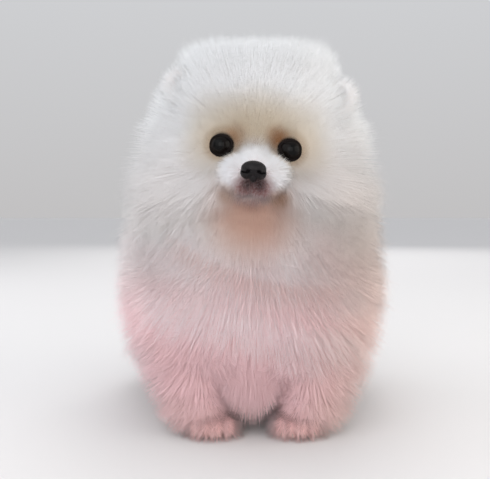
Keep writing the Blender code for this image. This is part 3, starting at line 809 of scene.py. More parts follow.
class Coat:
    """The coat, as joined meshes of thin tapered tufts rooted on the skin."""

    thickness = 0.38
    fringes = ((0.036, 0.0819, 0.082, 0.1229, 0.123, 0.156), (0.5, 0.0, 1.0, 0.0, 1.0, 0.30))
    curl = 3.7
    tilt = 0.30
    level_span = 0.060
    rounds = {
        Part.HEAD: (HEAD_CENTRE + Vector((0.0, 0.012, 0.004)), (0.077, 0.060, 0.069), 0.75),
        Part.RUFF: (Vector((0.0, -0.030, 0.150)), (0.095, 0.070, 0.085), 0.60),
        Part.TORSO: (Vector((-0.003, 0.020, 0.098)), (0.105, 0.110, 0.077), 0.60),
    }
    shortest = 0.34
    stray = 0.07
    spread = 0.0015
    march_step = 0.004

    def __init__(self, body: Body, skin: bpy.types.Object, seed: int = 7) -> None:
        """Reads the skin's faces.

        Args:
            body: The flesh, which tells the parts apart.
            skin: The skin that the coat is rooted on.
            seed: Starts the random draws.
        """
        self.body = body
        self.draw = np.random.default_rng(seed)
        mesh = skin.data
        mesh.calc_loop_triangles()
        self.points = np.empty(len(mesh.vertices) * 3)
        mesh.vertices.foreach_get("co", self.points)
        self.points = self.points.reshape(-1, 3)
        self.normals = np.empty(len(mesh.vertices) * 3)
        mesh.vertex_normals.foreach_get("vector", self.normals)
        self.normals = self.normals.reshape(-1, 3)
        corners = np.empty(len(mesh.loop_triangles) * 3, dtype=np.int32)
        mesh.loop_triangles.foreach_get("vertices", corners)
        self.corners = corners.reshape(-1, 3)
        places = self.points[self.corners]
        self.middles = places.mean(axis=1)
        self.areas = np.linalg.norm(np.cross(places[:, 1] - places[:, 0], places[:, 2] - places[:, 0]), axis=1) / 2
        distances = body.parts_at(self.middles)
        self.parts = list(distances)
        self.nearest = np.argmin(np.stack([distances[part] for part in self.parts]), axis=0)
        self.forms = self.outer_forms()
        self.growth = self.growth_of_parts()

    def outer_forms(self) -> dict[str, CoatForm]:
        """The coat's outer surface on each part that it is long on."""
        head = [Section(0, y, z, wide, high) for y, z, wide, high in (
            (-0.0370, 0.010, 0.030, 0.032), (-0.0320, 0.008, 0.050, 0.048), (-0.0180, 0.006, 0.066, 0.058),
            (-0.002, 0.005, 0.076, 0.062), (0.012, 0.005, 0.079, 0.063), (0.028, 0.004, 0.077, 0.061),
            (0.046, 0.003, 0.064, 0.051), (0.060, 0.002, 0.045, 0.037), (0.069, 0.001, 0.022, 0.019),
            (0.073, 0.001, 0.005, 0.005))]
        top = [Section(0.001, y, z, wide, high) for y, z, wide, high in (
            (-0.0340, 0.026, 0.020, 0.024), (-0.0280, 0.028, 0.044, 0.040), (-0.0120, 0.029, 0.058, 0.049),
            (0.008, 0.030, 0.061, 0.052), (0.026, 0.028, 0.056, 0.047), (0.042, 0.022, 0.040, 0.034),
            (0.054, 0.016, 0.014, 0.012))]
        ruff = [Section(-0.001, y, z, wide, high) for y, z, wide, high in (
            (-0.036, 0.232, 0.040, 0.024), (-0.040, 0.222, 0.074, 0.044), (-0.043, 0.209, 0.086, 0.056),
            (-0.044, 0.196, 0.089, 0.060), (-0.044, 0.182, 0.091, 0.064), (-0.036, 0.160, 0.094, 0.076),
            (-0.022, 0.134, 0.099, 0.084), (-0.010, 0.112, 0.100, 0.086), (-0.001, 0.096, 0.094, 0.076),
            (0.003, 0.084, 0.060, 0.050))]
        torso = [Section(x, y, z, wide, high) for x, y, z, wide, high in (
            (0, -0.094, 0.108, 0.020, 0.020), (0, -0.086, 0.103, 0.056, 0.052), (0, -0.066, 0.096, 0.086, 0.068),
            (-0.002, -0.030, 0.097, 0.102, 0.075), (-0.004, 0.015, 0.101, 0.107, 0.077),
            (-0.005, 0.060, 0.102, 0.108, 0.076), (-0.005, 0.098, 0.102, 0.100, 0.072),
            (-0.005, 0.128, 0.103, 0.074, 0.058), (-0.005, 0.144, 0.104, 0.016, 0.016))]
        foreleg = ((0.0430, -0.036, 0.086, 0.036, 0.030), (0.0460, -0.038, 0.066, 0.044, 0.036),
                   (0.0450, -0.041, 0.044, 0.042, 0.036), (0.0440, -0.043, 0.026, 0.036, 0.034),
                   (0.0430, -0.045, 0.012, 0.029, 0.033), (0.0410, -0.046, 0.000, 0.022, 0.028))
        hindleg = ((0.0500, 0.072, 0.084, 0.036, 0.042), (0.0540, 0.073, 0.068, 0.050, 0.050),
                   (0.0580, 0.073, 0.048, 0.054, 0.054), (0.0590, 0.073, 0.028, 0.053, 0.053),
                   (0.0560, 0.073, 0.014, 0.044, 0.046), (0.0520, 0.073, 0.000, 0.034, 0.038))
        tuft = [Section(*sizes) for sizes in (
            (-0.003, -0.058, 0.080, 0.034, 0.022), (-0.003, -0.060, 0.044, 0.030, 0.021),
            (-0.003, -0.061, 0.022, 0.023, 0.017), (-0.003, -0.061, 0.006, 0.008, 0.006))]
        on_head = Matrix.Translation(HEAD_CENTRE)
        forms = {"head": CoatForm(head, 3.0, on_head), "top": CoatForm(top, 4.5, on_head),
                 "ruff": CoatForm(ruff, 2.2), "torso": CoatForm(torso, 3.2), "tuft": CoatForm(tuft, 2.0)}
        for side, word in SIDES:
            forms[f"foreleg_{word}"] = CoatForm([Section(x * side, *rest) for x, *rest in foreleg], 2.2)
            forms[f"hindleg_{word}"] = CoatForm([Section(x * side + RUMP_SWING - 0.003, *rest) for x, *rest in hindleg],
                                               2.2)
        return forms

    def growth_of_parts(self) -> dict[Part, Growth]:
        """How the coat grows on each part."""
        legs = tuple(f"{limb}leg_{word}" for limb in ("fore", "hind") for _, word in SIDES)
        return {
            Part.HEAD: Growth(0.056, 0.80, 0.50, 0.03, ("head", "top", "ruff"), 0.92),
            Part.MUZZLE: Growth(0.0090, 0.62, 0.80, 0.28, soft=0.66),
            Part.JAW: Growth(0.0100, 0.55, 0.80, 0.35, soft=0.60),
            Part.EAR: Growth(0.0100, 0.60, 0.70, 0.04, soft=0.88),
            Part.RUFF: Growth(0.056, 0.80, 0.58, 0.02, ("ruff", "head", "torso"), 0.95),
            Part.TORSO: Growth(0.056, 0.84, 0.52, 0.02, ("torso", "ruff", "tuft"), 0.95),
            Part.FORELEG: Growth(0.040, 0.80, 0.60, 0.02, legs + ("torso",), 0.96),
            Part.HINDLEG: Growth(0.052, 0.70, 0.70, 0.02, legs + ("torso",), 0.95),
            Part.PAW: Growth(0.0105, 0.62, 0.80, 0.06, soft=0.80),
            Part.TAIL: Growth(0.040, 0.58, 0.78, 0.02, soft=0.90),
        }

    def patch_of(self, part: Part, middles: Numbers) -> list[tuple[Patch, Numbers]]:
        """The pieces that one part's coat is split into.

        Args:
            part: The part.
            middles: The middles of the skin's faces, one a row.

        Returns:
            Each piece and which faces it grows on.
        """
        local = middles - np.array(STEP)
        x, y = local[:, 0], local[:, 1]
        every = np.ones(len(local), dtype=bool)
        level = self.level(local)
        if part is Part.HEAD:
            front = y < -0.052
            return [(Patch("coat_brow", 48000, 0.00046, 0), front), (Patch("coat_crown", 48000, 0.00058, 0), ~front)]
        if part is Part.RUFF:
            front = y < -0.046
            edge = front & (level > 0.120) & (level < 0.142) & (np.abs(x) < 0.070)
            return [(Patch("coat_bib", 42000, 0.00048, 0), front), (Patch("coat_bib_fringe", 7000, 0.00046, 0, True), edge),
                    (Patch("coat_collar", 24000, 0.00062, 0), ~front)]
        if part is Part.TORSO:
            front = y < 0.010
            edge = (y < -0.040) & (level > 0.080) & (level < 0.100) & (np.abs(x) < 0.050)
            return [(Patch("coat_flank", 47000, 0.00052, 0), front), (Patch("coat_fringe", 5000, 0.00046, 0, True), edge),
                    (Patch("coat_rump", 32000, 0.00066, 0), ~front)]
        single = {
            Part.MUZZLE: (Patch("coat_muzzle", 16000, 0.00052, 0),),
            Part.JAW: (Patch("coat_chin", 4500, 0.00050, 0),),
            Part.EAR: (Patch("coat_ears", 9000, 0.00046, 0),),
            Part.FORELEG: (Patch("coat_forelegs", 30000, 0.00050, 0),),
            Part.HINDLEG: (Patch("coat_hindlegs", 17000, 0.00062, 0),),
            Part.PAW: (Patch("coat_paws", 14000, 0.00036, 0),),
            Part.TAIL: (Patch("coat_tail", 26000, 0.00056, 0),),
        }
        return [(patch, every) for patch in single[part]]

    def flow(self, part: Part, points: Numbers, normals: Numbers) -> Numbers:
        """Which way the hair lies.

        Args:
            part: The part.
            points: The roots, in the frame.
            normals: The skin's normals there.

        Returns:
            One direction for each root, not yet of length 1.
        """
        local = points - np.array(STEP)
        side = np.sign(local[:, :1])
        nose = np.array(TO_HEAD @ NOSE_PLACE)
        if part is Part.HEAD:
            away = local - nose
            away[:, 1] *= 0.55
            away /= np.linalg.norm(away, axis=1, keepdims=True)
            below = np.clip((HEAD_CENTRE.z + 0.004 - local[:, 2:]) / 0.016, 0.0, 1.0)
            shelf = np.concatenate([side, np.full_like(side, -0.10), np.full_like(side, -0.22)], axis=1)
            flow = away * (1 - below) + shelf * below
            behind = np.clip((local[:, 1:2] + 0.050) / 0.060, 0.0, 1.0)
            back = np.concatenate([side * 0.15, np.full_like(side, 0.75), np.full_like(side, -0.65)], axis=1)
            flow = flow * (1 - behind * 0.5) + back * behind * 0.8
            for eye in (1, -1):
                off, radius = self.off_eye(local, eye)
                near = np.clip((0.017 - radius) / 0.008, 0.0, 1.0)[:, None]
                flow = flow * (1 - near) + off / np.maximum(radius, 1e-4)[:, None] * near
            return flow
        if part in (Part.MUZZLE, Part.JAW):
            away = local - nose
            away[:, 1] += 0.004
            away[:, 2] -= 0.003
            return away / np.linalg.norm(away, axis=1, keepdims=True)
        if part is Part.EAR:
            base = np.array(TO_HEAD @ (EAR_PLACE * 0.72))
            away = local - np.concatenate([side * base[0], np.full_like(side, base[1]), np.full_like(side, base[2])], 1)
            return away / np.linalg.norm(away, axis=1, keepdims=True)
        if part is Part.RUFF:
            return np.concatenate([normals[:, :1] * 0.5, normals[:, 1:2] * 0.3, np.full_like(side, -1.0)], axis=1)
        if part is Part.TORSO:
            upward = np.clip(normals[:, 2:], 0.0, 1.0)
            return np.concatenate([normals[:, :1] * 0.4, 0.45 + 0.55 * upward, 0.50 * upward - 0.75], axis=1)
        if part is Part.TAIL:
            return np.concatenate([side * 0.55, np.full_like(side, -0.35), np.full_like(side, -0.60)], axis=1)
        if part is Part.PAW:
            return np.concatenate([normals[:, :1] * 0.3, np.full_like(side, -0.7), np.full_like(side, -0.5)], axis=1)
        return np.concatenate([normals[:, :1] * 0.3, np.full_like(side, 0.0), np.full_like(side, -1.0)], axis=1)

    def reach(self, part: Part, points: Numbers, aims: Numbers) -> Numbers:
        """How far the hair goes before it leaves the coat's outer surface.

        Args:
            part: The part.
            points: The roots, in the frame.
            aims: Directions of length 1.

        Returns:
            One length for each root.
        """
        growth = self.growth[part]
        if not growth.forms:
            return np.full(len(points), growth.longest)
        forms = [self.forms[name] for name in growth.forms]
        length = np.full(len(points), growth.longest)
        found = np.zeros(len(points), dtype=bool)
        before = np.min([form.level(points) for form in forms], axis=0)
        start = 0.0
        while start < growth.longest:
            end = start + self.march_step
            level = np.min([form.level(points + aims * end) for form in forms], axis=0)
            leaves = ~found & (level >= 1.0)
            share = np.clip((1.0 - before) / np.maximum(level - before, 1e-6), 0.0, 1.0)
            length[leaves] = start + share[leaves] * self.march_step
            found |= leaves
            before = level
            start = end
        return np.minimum(length, growth.longest)

    def level(self, local: Numbers) -> Numbers:
        """Heights measured along the front coat's fringes, which curl up at one side."""
        across = np.clip(local[:, 0], -self.level_span, self.level_span)
        return local[:, 2] - self.curl * across**2 + self.tilt * across

    def layers(self, points: Numbers) -> Numbers:
        """How far down a layer of the front coat each root is.

        Args:
            points: The roots, in the frame.

        Returns:
            0 at the top of a layer, up to 1 at its fringe, and 0.5 away from the front.
        """
        local = points - np.array(STEP)
        down = np.interp(self.level(local), *self.fringes)
        front = np.clip((-0.028 - local[:, 1]) / 0.018, 0.0, 1.0)
        return 0.5 + (down - 0.5) * front

    def rounded(self, part: Part, roots: Numbers, normals: Numbers) -> Numbers:
        """Turns the skin's normals towards those of a plain round body, so that no crease of the flesh shows.

        Args:
            part: The part.
            roots: The roots, in the frame.
            normals: The skin's normals there.

        Returns:
            The turned normals.
        """
        if part not in self.rounds:
            return normals
        middle, half, share = self.rounds[part]
        out = (roots - np.array(middle + STEP)) / np.array(half) ** 2
        out /= np.linalg.norm(out, axis=1, keepdims=True)
        turned = normals * (1 - share) + out * share
        return turned / np.linalg.norm(turned, axis=1, keepdims=True)

    def off_eye(self, local: Numbers, side: int) -> tuple[Numbers, Numbers]:
        """How far points are from the line that an eye looks along.

        Args:
            local: Places in the plan, one a row.
            side: 1 for the left eye, -1 for the right.

        Returns:
            The steps from the line to the points, and their lengths.
        """
        centre = np.array(TO_HEAD @ Vector((EYE_PLACE.x * side, EYE_PLACE.y, EYE_PLACE.z)))
        front = np.array((math.sin(EYE_OUTWARD) * side, -math.cos(EYE_OUTWARD), 0.0))
        off = local - centre
        off = off - (off @ front)[:, None] * front
        return off, np.linalg.norm(off, axis=1)

    def near_face(self, points: Numbers) -> Numbers:
        """How short the hair is kept round the eyes and on the throat: 0 at their edge, and 1 well away."""
        local = points - np.array(STEP)
        throat = np.hypot(local[:, 0] * 0.75, (local[:, 2] - 0.152) * 1.25) + np.maximum(local[:, 1] + 0.052, 0.0)
        share = 0.16 + 0.84 * np.clip((throat - 0.008) / 0.032, 0.0, 1.0) ** 1.3
        for side in (1, -1):
            eye = np.array(TO_HEAD @ Vector((EYE_PLACE.x * side, EYE_PLACE.y - 0.004, 0.0)))
            away = local - eye
            above = away[:, 2] > 0
            away[:, 0] *= 0.62
            away[:, 2] *= np.where(above, 1.25, 2.30)
            distance = np.linalg.norm(away, axis=1)
            share = np.minimum(share, np.clip((distance - 0.0065) / 0.030, 0.0, 1.0) ** 1.25)
        return share

    def waves(self, points: Numbers, size: float, seed: int) -> Numbers:
        """Smooth, seeded wandering of the lie from place to place.

        Args:
            points: Places in the frame, one a row.
            size: About how far apart the waves are.
            seed: Starts the draw of the waves.

        Returns:
            One small vector for each point.
        """
        draw = np.random.default_rng(seed)
        total = np.zeros((len(points), 3))
        for _ in range(6):
            wave = draw.normal(size=3) * 2.0 * math.pi / size * 0.6
            total += np.sin(points @ wave + draw.uniform(0, 6.28))[:, None] * draw.normal(size=3) * 0.4
        return total

    def roots(self, faces: Numbers, count: int) -> tuple[Numbers, Numbers]:
        """Even random places on some of the skin's faces.

        Args:
            faces: The numbers of the faces.
            count: How many places.

        Returns:
            The places and the skin's normals there.
        """
        total = np.cumsum(self.areas[faces])
        spots = (np.arange(count) + self.draw.uniform(size=count)) / count * total[-1]
        chosen = faces[np.minimum(np.searchsorted(total, spots), len(faces) - 1)]
        one, two = self.draw.uniform(size=(2, count))
        fold = one + two > 1
        one, two = np.where(fold, 1 - one, one), np.where(fold, 1 - two, two)
        share = np.stack([1 - one - two, one, two], axis=1)[:, :, None]
        places = (self.points[self.corners[chosen]] * share).sum(axis=1)
        normals = (self.normals[self.corners[chosen]] * share).sum(axis=1)
        return places, normals / np.linalg.norm(normals, axis=1, keepdims=True)

    def gather(self, roots: Numbers, tips: Numbers, clump: float, per_lock: int = 11) -> Numbers:
        """Draws the tips of neighbouring tufts together into locks.

        Args:
            roots: The roots.
            tips: The tips.
            clump: How far the tips move to their lock's middle, from 0 to 1.
            per_lock: About how many tufts share a lock.

        Returns:
            The moved tips.
        """
        chosen = self.draw.choice(len(roots), max(len(roots) // per_lock, 1), replace=False)
        tree = KDTree(len(chosen))
        for number, root in enumerate(chosen):
            tree.insert(roots[root], number)
        tree.balance()
        lock = np.array([tree.find(root)[1] for root in roots])
        count = np.maximum(np.bincount(lock, minlength=len(chosen)), 1)[:, None]
        middle = np.stack([np.bincount(lock, tips[:, k], len(chosen)) for k in range(3)], axis=1) / count
        pull = clump * self.draw.uniform(0.5, 1.0, size=(len(roots), 1))
        return tips + (middle[lock] - tips) * pull

    def unwrap(self, part: Part, roots: Numbers) -> Numbers:
        """Each root's place on an unwrap of the skin round the part's own middle.

        Args:
            part: The part.
            roots: The roots, in the frame.

        Returns:
            Two numbers from 0 to 1 for each root.
        """
        paired = part in (Part.EAR, Part.FORELEG, Part.HINDLEG, Part.PAW)
        flat = np.empty((len(roots), 2))
        left = roots[:, 0] > STEP.x
        for chosen, start, width in ((left, 0.51, 0.48), (~left, 0.01, 0.48)) if paired else (
                (np.ones(len(roots), dtype=bool), 0.01, 0.98),):
            if not chosen.any():
                continue
            off = roots[chosen] - roots[chosen].mean(axis=0)
            round_up = np.arctan2(off[:, 0], -off[:, 1]) / (2 * math.pi) + 0.5
            polar = np.arccos(np.clip(off[:, 2] / np.linalg.norm(off, axis=1), -1, 1)) / math.pi
            flat[chosen] = np.stack([start + round_up * width, 0.01 + polar * 0.98], axis=1)
        return flat

    def grow(self, part: Part, patch: Patch, faces: Numbers) -> bpy.types.Object:
        """Grows one piece of the coat.

        Args:
            part: The part that it grows on.
            patch: The piece's counts and sizes.
            faces: The faces of the skin that it grows on.

        Returns:
            The piece.
        """
        growth = self.growth[part]
        roots, normals = self.roots(faces, patch.count)
        normals = self.rounded(part, roots, normals)
        flow = self.flow(part, roots, normals) + self.waves(roots, 0.035, 3) * 0.05
        down = self.layers(roots)[:, None] if part in (Part.RUFF, Part.TORSO) else 0.5
        if patch.fringe:
            down = np.ones((len(roots), 1))
        behind = np.clip((roots[:, 1:2] - STEP.y + 0.050) / 0.060, 0.0, 1.0) if part is Part.HEAD else 0.0
        stand = growth.stand * (1.15 - 0.30 * down) * (1 - 0.10 * behind)
        lie = growth.lie * (0.75 + 0.50 * down) * (1 + 0.40 * behind)
        if part in (Part.RUFF, Part.TORSO):
            ahead = np.clip((-0.028 - roots[:, 1:2] + STEP.y) / 0.030, 0.0, 1.0)
            stand = stand * (1 + 0.10 * ahead)
            lie = lie * (1 + 0.10 * ahead)
            normals[:, 2:] -= np.maximum(normals[:, 2:] + 0.10, 0.0) * ahead
            normals /= np.linalg.norm(normals, axis=1, keepdims=True)
        if part is Part.TORSO:
            rear = np.clip((roots[:, 1:2] - STEP.y - 0.010) / 0.040, 0.0, 1.0) * np.clip(normals[:, 2:] + 0.5, 0.0, 1.0)
            stand = stand * (1 - 0.40 * rear)
            lie = lie * (1 + 0.90 * rear)
        if patch.fringe:
            stand, lie = 0.78, 0.80
            flow = np.concatenate([(roots[:, :1] - STEP.x) * 5.0, np.full((len(roots), 1), -0.20),
                                   np.full((len(roots), 1), -1.0)], axis=1)
        aims = normals * stand + flow * lie + self.draw.normal(size=roots.shape) * 0.12
        aims /= np.linalg.norm(aims, axis=1, keepdims=True)
        length = self.reach(part, roots, aims)
        if part in (Part.RUFF, Part.TORSO):
            length *= 0.88 + 0.24 * down[:, 0] ** 1.4 + 0.05 * patch.fringe
        if part in (Part.HEAD, Part.RUFF, Part.TORSO):
            short = self.near_face(roots)
            length = np.minimum(length, 0.0035 + short * length)
        if part is Part.MUZZLE:
            off = roots - np.array(TO_HEAD @ NOSE_PLACE + STEP)
            back = np.linalg.norm(off, axis=1)
            aside = np.clip(np.abs(off[:, 0]) - 0.004, 0.0, 0.012)
            lip = np.clip((-0.003 - off[:, 2]) / 0.004, 0.0, 1.0) * np.clip(1.3 - np.abs(off[:, 0]) / 0.009, 0.0, 1.0)
            length = 0.0054 + np.clip(back - 0.005, 0.0, 0.03) * 0.18 + aside * 0.42 + lip * 0.0034
        length *= 1.02 - self.shortest * self.draw.uniform(size=len(roots)) ** 2
        length *= np.where(self.draw.uniform(size=len(roots)) < self.stray, 1.10, 1.0)
        clear = np.min([self.off_eye(roots - np.array(STEP), side)[1] for side in (1, -1)], axis=0)
        keep = (length > 0.0008) & ((clear > 0.0065) | (roots[:, 1] > STEP.y + HEAD_CENTRE.y))
        roots, normals, aims, length, flow = (a[keep] for a in (roots, normals, aims, length, flow))
        tips = roots + aims * length[:, None]
        tips = self.gather(roots, tips, growth.clump + patch.bends * 0.22 + patch.fringe * 0.32)
        lift = normals * 0.62 + aims * 0.38
        middles = roots + lift / np.linalg.norm(lift, axis=1, keepdims=True) * (length * 0.52)[:, None]
        middles = middles * 0.75 + (roots + tips) * 0.125
        wide = patch.wide * self.draw.uniform(0.75, 1.25, size=len(roots))
        wide *= np.clip(length / 0.010, 0.75, 1.0)
        return self.mesh(patch, roots - normals * 0.0006, middles, tips, normals, wide, self.unwrap(part, roots),
                         growth.soft)

    def mesh(self, patch: Patch, roots: Numbers, middles: Numbers, tips: Numbers, normals: Numbers,
             wide: Numbers, flat: Numbers, softness: float) -> bpy.types.Object:
        """Joins tufts of one kind into one mesh of closed, three-sided blades.

        Args:
            patch: The piece's counts and sizes.
            roots: Where the tufts start.
            middles: Where they pass.
            tips: Where they end.
            normals: Which way is out at each root.
            wide: The tufts' widths.
            flat: The roots' places on the unwrap.
            softness: How far the shading follows the skin instead of each tuft.

        Returns:
            The piece.
        """
        count = len(roots)
        control = middles * 2 - (roots + tips) / 2
        shares = (0.0, 0.5)[:patch.bends + 1]
        widths = (0.90, 0.74)[:patch.bends + 1]
        roll = self.draw.uniform(-0.8, 0.8, size=(count, 1))
        rings = []
        leans = []
        for share, scale in zip(shares, widths):
            place = roots * (1 - share) ** 2 + control * 2 * share * (1 - share) + tips * share**2
            along = (control - roots) * (1 - share) + (tips - control) * share
            along /= np.linalg.norm(along, axis=1, keepdims=True) + 1e-12
            side = np.cross(along, normals + 0.05)
            side /= np.linalg.norm(side, axis=1, keepdims=True) + 1e-12
            up = np.cross(side, along)
            side, up = side * np.cos(roll) + up * np.sin(roll), up * np.cos(roll) - side * np.sin(roll)
            half = (wide * scale / 2)[:, None]
            rings.append(np.stack([place - side * half, place + side * half,
                                   place + up * half * 2 * self.thickness], axis=1))
            leans.append(np.stack([-side, side, up], axis=1))
        places = np.concatenate([*rings, tips[:, None]], axis=1)
        leans = np.concatenate([*leans, up[:, None]], axis=1)
        soft = leans * (1 - softness) + (normals * softness)[:, None]
        soft /= np.linalg.norm(soft, axis=2, keepdims=True)
        places[:, :, 2] = np.maximum(places[:, :, 2], 0.0005)
        size = places.shape[1]
        faces = [(0, 1, 2)]
        for ring in range(len(rings) - 1):
            for corner in range(3):
                after = (corner + 1) % 3
                low, high = ring * 3, ring * 3 + 3
                faces += [(low + after, low + corner, high + corner), (low + after, high + corner, high + after)]
        last = size - 4
        faces += [(last + (corner + 1) % 3, last + corner, size - 1) for corner in range(3)]
        template = np.array(faces)
        index = (template[None] + np.arange(count)[:, None, None] * size).reshape(-1)
        mesh = bpy.data.meshes.new(patch.name)
        mesh.vertices.add(count * size)
        mesh.vertices.foreach_set("co", places.reshape(-1).astype(np.float32))
        mesh.loops.add(len(index))
        mesh.loops.foreach_set("vertex_index", index.astype(np.int32))
        mesh.polygons.add(len(index) // 3)
        mesh.polygons.foreach_set("loop_start", np.arange(0, len(index), 3, dtype=np.int32))
        reach = np.concatenate([np.repeat(shares, 3), [1.0]])
        corner_u = np.concatenate([np.tile((-1.0, 1.0, 0.0), len(rings)), [0.0]]) * self.spread
        corner_v = (reach * 2 - 1) * self.spread
        local = np.stack([corner_u, corner_v], axis=1)[template.reshape(-1)]
        layer = mesh.uv_layers.new(name="OFBake")
        layer.uv.foreach_set("vector", (flat[:, None] + local[None]).reshape(-1).astype(np.float32))
        for name, values in (("reach", np.tile(reach, count)), ("fringe", np.full(count * size, float(patch.fringe))),
                             ("shade", np.repeat(self.draw.uniform(size=count), size))):
            mesh.attributes.new(name, "FLOAT", "POINT").data.foreach_set("value", values.astype(np.float32))
        mesh.update(calc_edges=True)
        mesh.shade_smooth()
        shading = mesh.attributes.new("custom_normal", "FLOAT_VECTOR", "POINT")
        shading.data.foreach_set("vector", soft.reshape(-1).astype(np.float32))
        mesh.update()
        piece = bpy.data.objects.new(patch.name, mesh)
        bpy.context.scene.collection.objects.link(piece)
        return piece

    def build(self, finish: bpy.types.Material) -> list[bpy.types.Object]:
        """Grows every piece of the coat.

        Args:
            finish: The hair's material.

        Returns:
            The pieces.
        """
        pieces = []
        for number, part in enumerate(self.parts):
            own = np.flatnonzero(self.nearest == number)
            for patch, where in self.patch_of(part, self.middles[own]):
                piece = self.grow(part, patch, own[where])
                piece.data.materials.append(finish)
                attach(piece, "root")
                LOG.info("%s: %d triangles", piece.name, len(piece.data.polygons))
                pieces.append(piece)
        return pieces


@dataclass
class Eyes:
    """The two eyes and their lids."""

    lid_radius: float = 0.0065
    lid_thick: float = 0.0008
    lid_forward: float = 0.0063

    def build(self) -> None:
        """Builds both eyes and both pairs of lids, and dresses them."""
        lid_skin = LeatherFinish("lid_skin", (0.006, 0.004, 0.004), (0.014, 0.009, 0.008), 0.70, 1600.0, 0.0002, 0.0)
        dark = lid_skin.make()
        for side, word in SIDES:
            ball = self.ball(side, word)
            ball.data.materials.append(EyeFinish(side=side).make())
            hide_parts(f"eye_{word}")
            lids = self.lids(side, word)
            lids.data.materials.append(dark)
            for piece in (ball, lids):
                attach(piece, "root")
                LOG.info("%s: %d faces", piece.name, len(piece.data.polygons))

    def place(self, side: int) -> Matrix:
        """Where an eye stands and looks.

        Args:
            side: 1 for the left, -1 for the right.

        Returns:
            The eye's own axes in the frame, looking along its -Y.
        """
        centre = Vector((EYE_PLACE.x * side, EYE_PLACE.y, EYE_PLACE.z))
        return (Matrix.Translation(STEP) @ TO_HEAD @ Matrix.Translation(centre)
                @ Matrix.Rotation(EYE_OUTWARD * side, 4, "Z"))

    def ball(self, side: int, word: str) -> bpy.types.Object:
        """One eyeball with a front that bulges a little.

        Args:
            side: 1 for the left, -1 for the right.
            word: The side's name.

        Returns:
            The eyeball.
        """
        deselect()
        bpy.ops.mesh.primitive_uv_sphere_add(segments=48, ring_count=32, radius=EYE_RADIUS,
                                             rotation=(math.pi / 2, 0.0, 0.0))
        piece = bpy.context.object
        bpy.ops.object.transform_apply(rotation=True)
        for point in piece.data.vertices:
            front = -point.co.y / EYE_RADIUS
            point.co.y -= 0.0007 * max(front - 0.72, 0.0) / 0.28
        piece.matrix_world = self.place(side)
        piece = join(f"eyeball_{word}", [piece])
        piece.data.shade_smooth()
        return piece

    def lids(self, side: int, word: str) -> bpy.types.Object:
        """One pair of lids as a dark rim drawn out to the inner corner.

        Args:
            side: 1 for the left, -1 for the right.
            word: The side's name.

        Returns:
            The lids.
        """
        deselect()
        bpy.ops.mesh.primitive_torus_add(major_segments=40, minor_segments=12, major_radius=self.lid_radius,
                                         minor_radius=self.lid_thick, rotation=(math.pi / 2, 0.0, 0.0))
        piece = bpy.context.object
        bpy.ops.object.transform_apply(rotation=True)
        for point in piece.data.vertices:
            angle = math.atan2(point.co.z, -point.co.x * side)
            inner = max(math.cos(angle - 0.35), 0.0) ** 6
            point.co.x -= side * inner * 0.0016
            point.co.z += inner * 0.0006
            point.co.y += (point.co.x * point.co.x + point.co.z * point.co.z - self.lid_radius**2) * 22.0
            point.co.y += 0.0008 * (1 - abs(math.sin(angle)))
            point.co.z *= 0.97
        piece.matrix_world = self.place(side) @ Matrix.Translation((0.0, -self.lid_forward, 0.0))
        piece = join(f"eyelids_{word}", [piece])
        piece.data.shade_smooth()
        return piece


@dataclass
class Nose:
    """The nose leather, with its two nostrils and the groove between them."""

    half: tuple[float, float, float] = (0.0078, 0.0056, 0.0064)
    face_size: float = 0.00024

    def build(self) -> None:
        """Builds the nose and dresses it."""
        top = Ball((NOSE_PLACE.x, NOSE_PLACE.y + 0.0004, NOSE_PLACE.z + 0.0012), (0.0077, 0.0055, 0.0050), on_head=True)
        wings = [Ball((NOSE_PLACE.x + 0.0040 * side, NOSE_PLACE.y + 0.0006, NOSE_PLACE.z - 0.0012),
                      (0.0040, 0.0046, 0.0040), on_head=True) for side in (1, -1)]
        foot = Ball((NOSE_PLACE.x, NOSE_PLACE.y + 0.0010, NOSE_PLACE.z - 0.0036), (0.0026, 0.0036, 0.0034), on_head=True)
        nose = join("nose_leather", [ball.add() for ball in (top, *wings, foot)])
        remesh(nose, self.face_size)
        cutters = []
        for side in (1, -1):
            cutters.append(Ball((NOSE_PLACE.x + 0.0034 * side, NOSE_PLACE.y - 0.0048, NOSE_PLACE.z - 0.0008),
                                (0.0017, 0.0032, 0.0012), turn=0.5 * side, on_head=True))
            cutters.append(Ball((NOSE_PLACE.x + 0.0058 * side, NOSE_PLACE.y - 0.0030, NOSE_PLACE.z - 0.0014),
                                (0.0022, 0.0026, 0.0006), turn=-0.25 * side, on_head=True))
        cutters.append(Ball((NOSE_PLACE.x, NOSE_PLACE.y - 0.0058, NOSE_PLACE.z - 0.0030), (0.00035, 0.0016, 0.0046),
                            on_head=True))
        for cutter in cutters:
            thing = cutter.add()
            apply(nose, "BOOLEAN", operation="DIFFERENCE", solver="MANIFOLD", object=thing)
            bpy.data.objects.remove(thing)
        remesh(nose, self.face_size)
        apply(nose, "SMOOTH", factor=0.5, iterations=4)
        nose.data.shade_smooth()
        leather = LeatherFinish("nose_leather", (0.005, 0.004, 0.005), (0.016, 0.013, 0.014), 0.36, 2300.0, 0.00022, 0.15)
        dress(nose, leather.make())
        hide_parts("nose")
        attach(nose, "root")
        LOG.info("nose_leather: %d faces", len(nose.data.polygons))


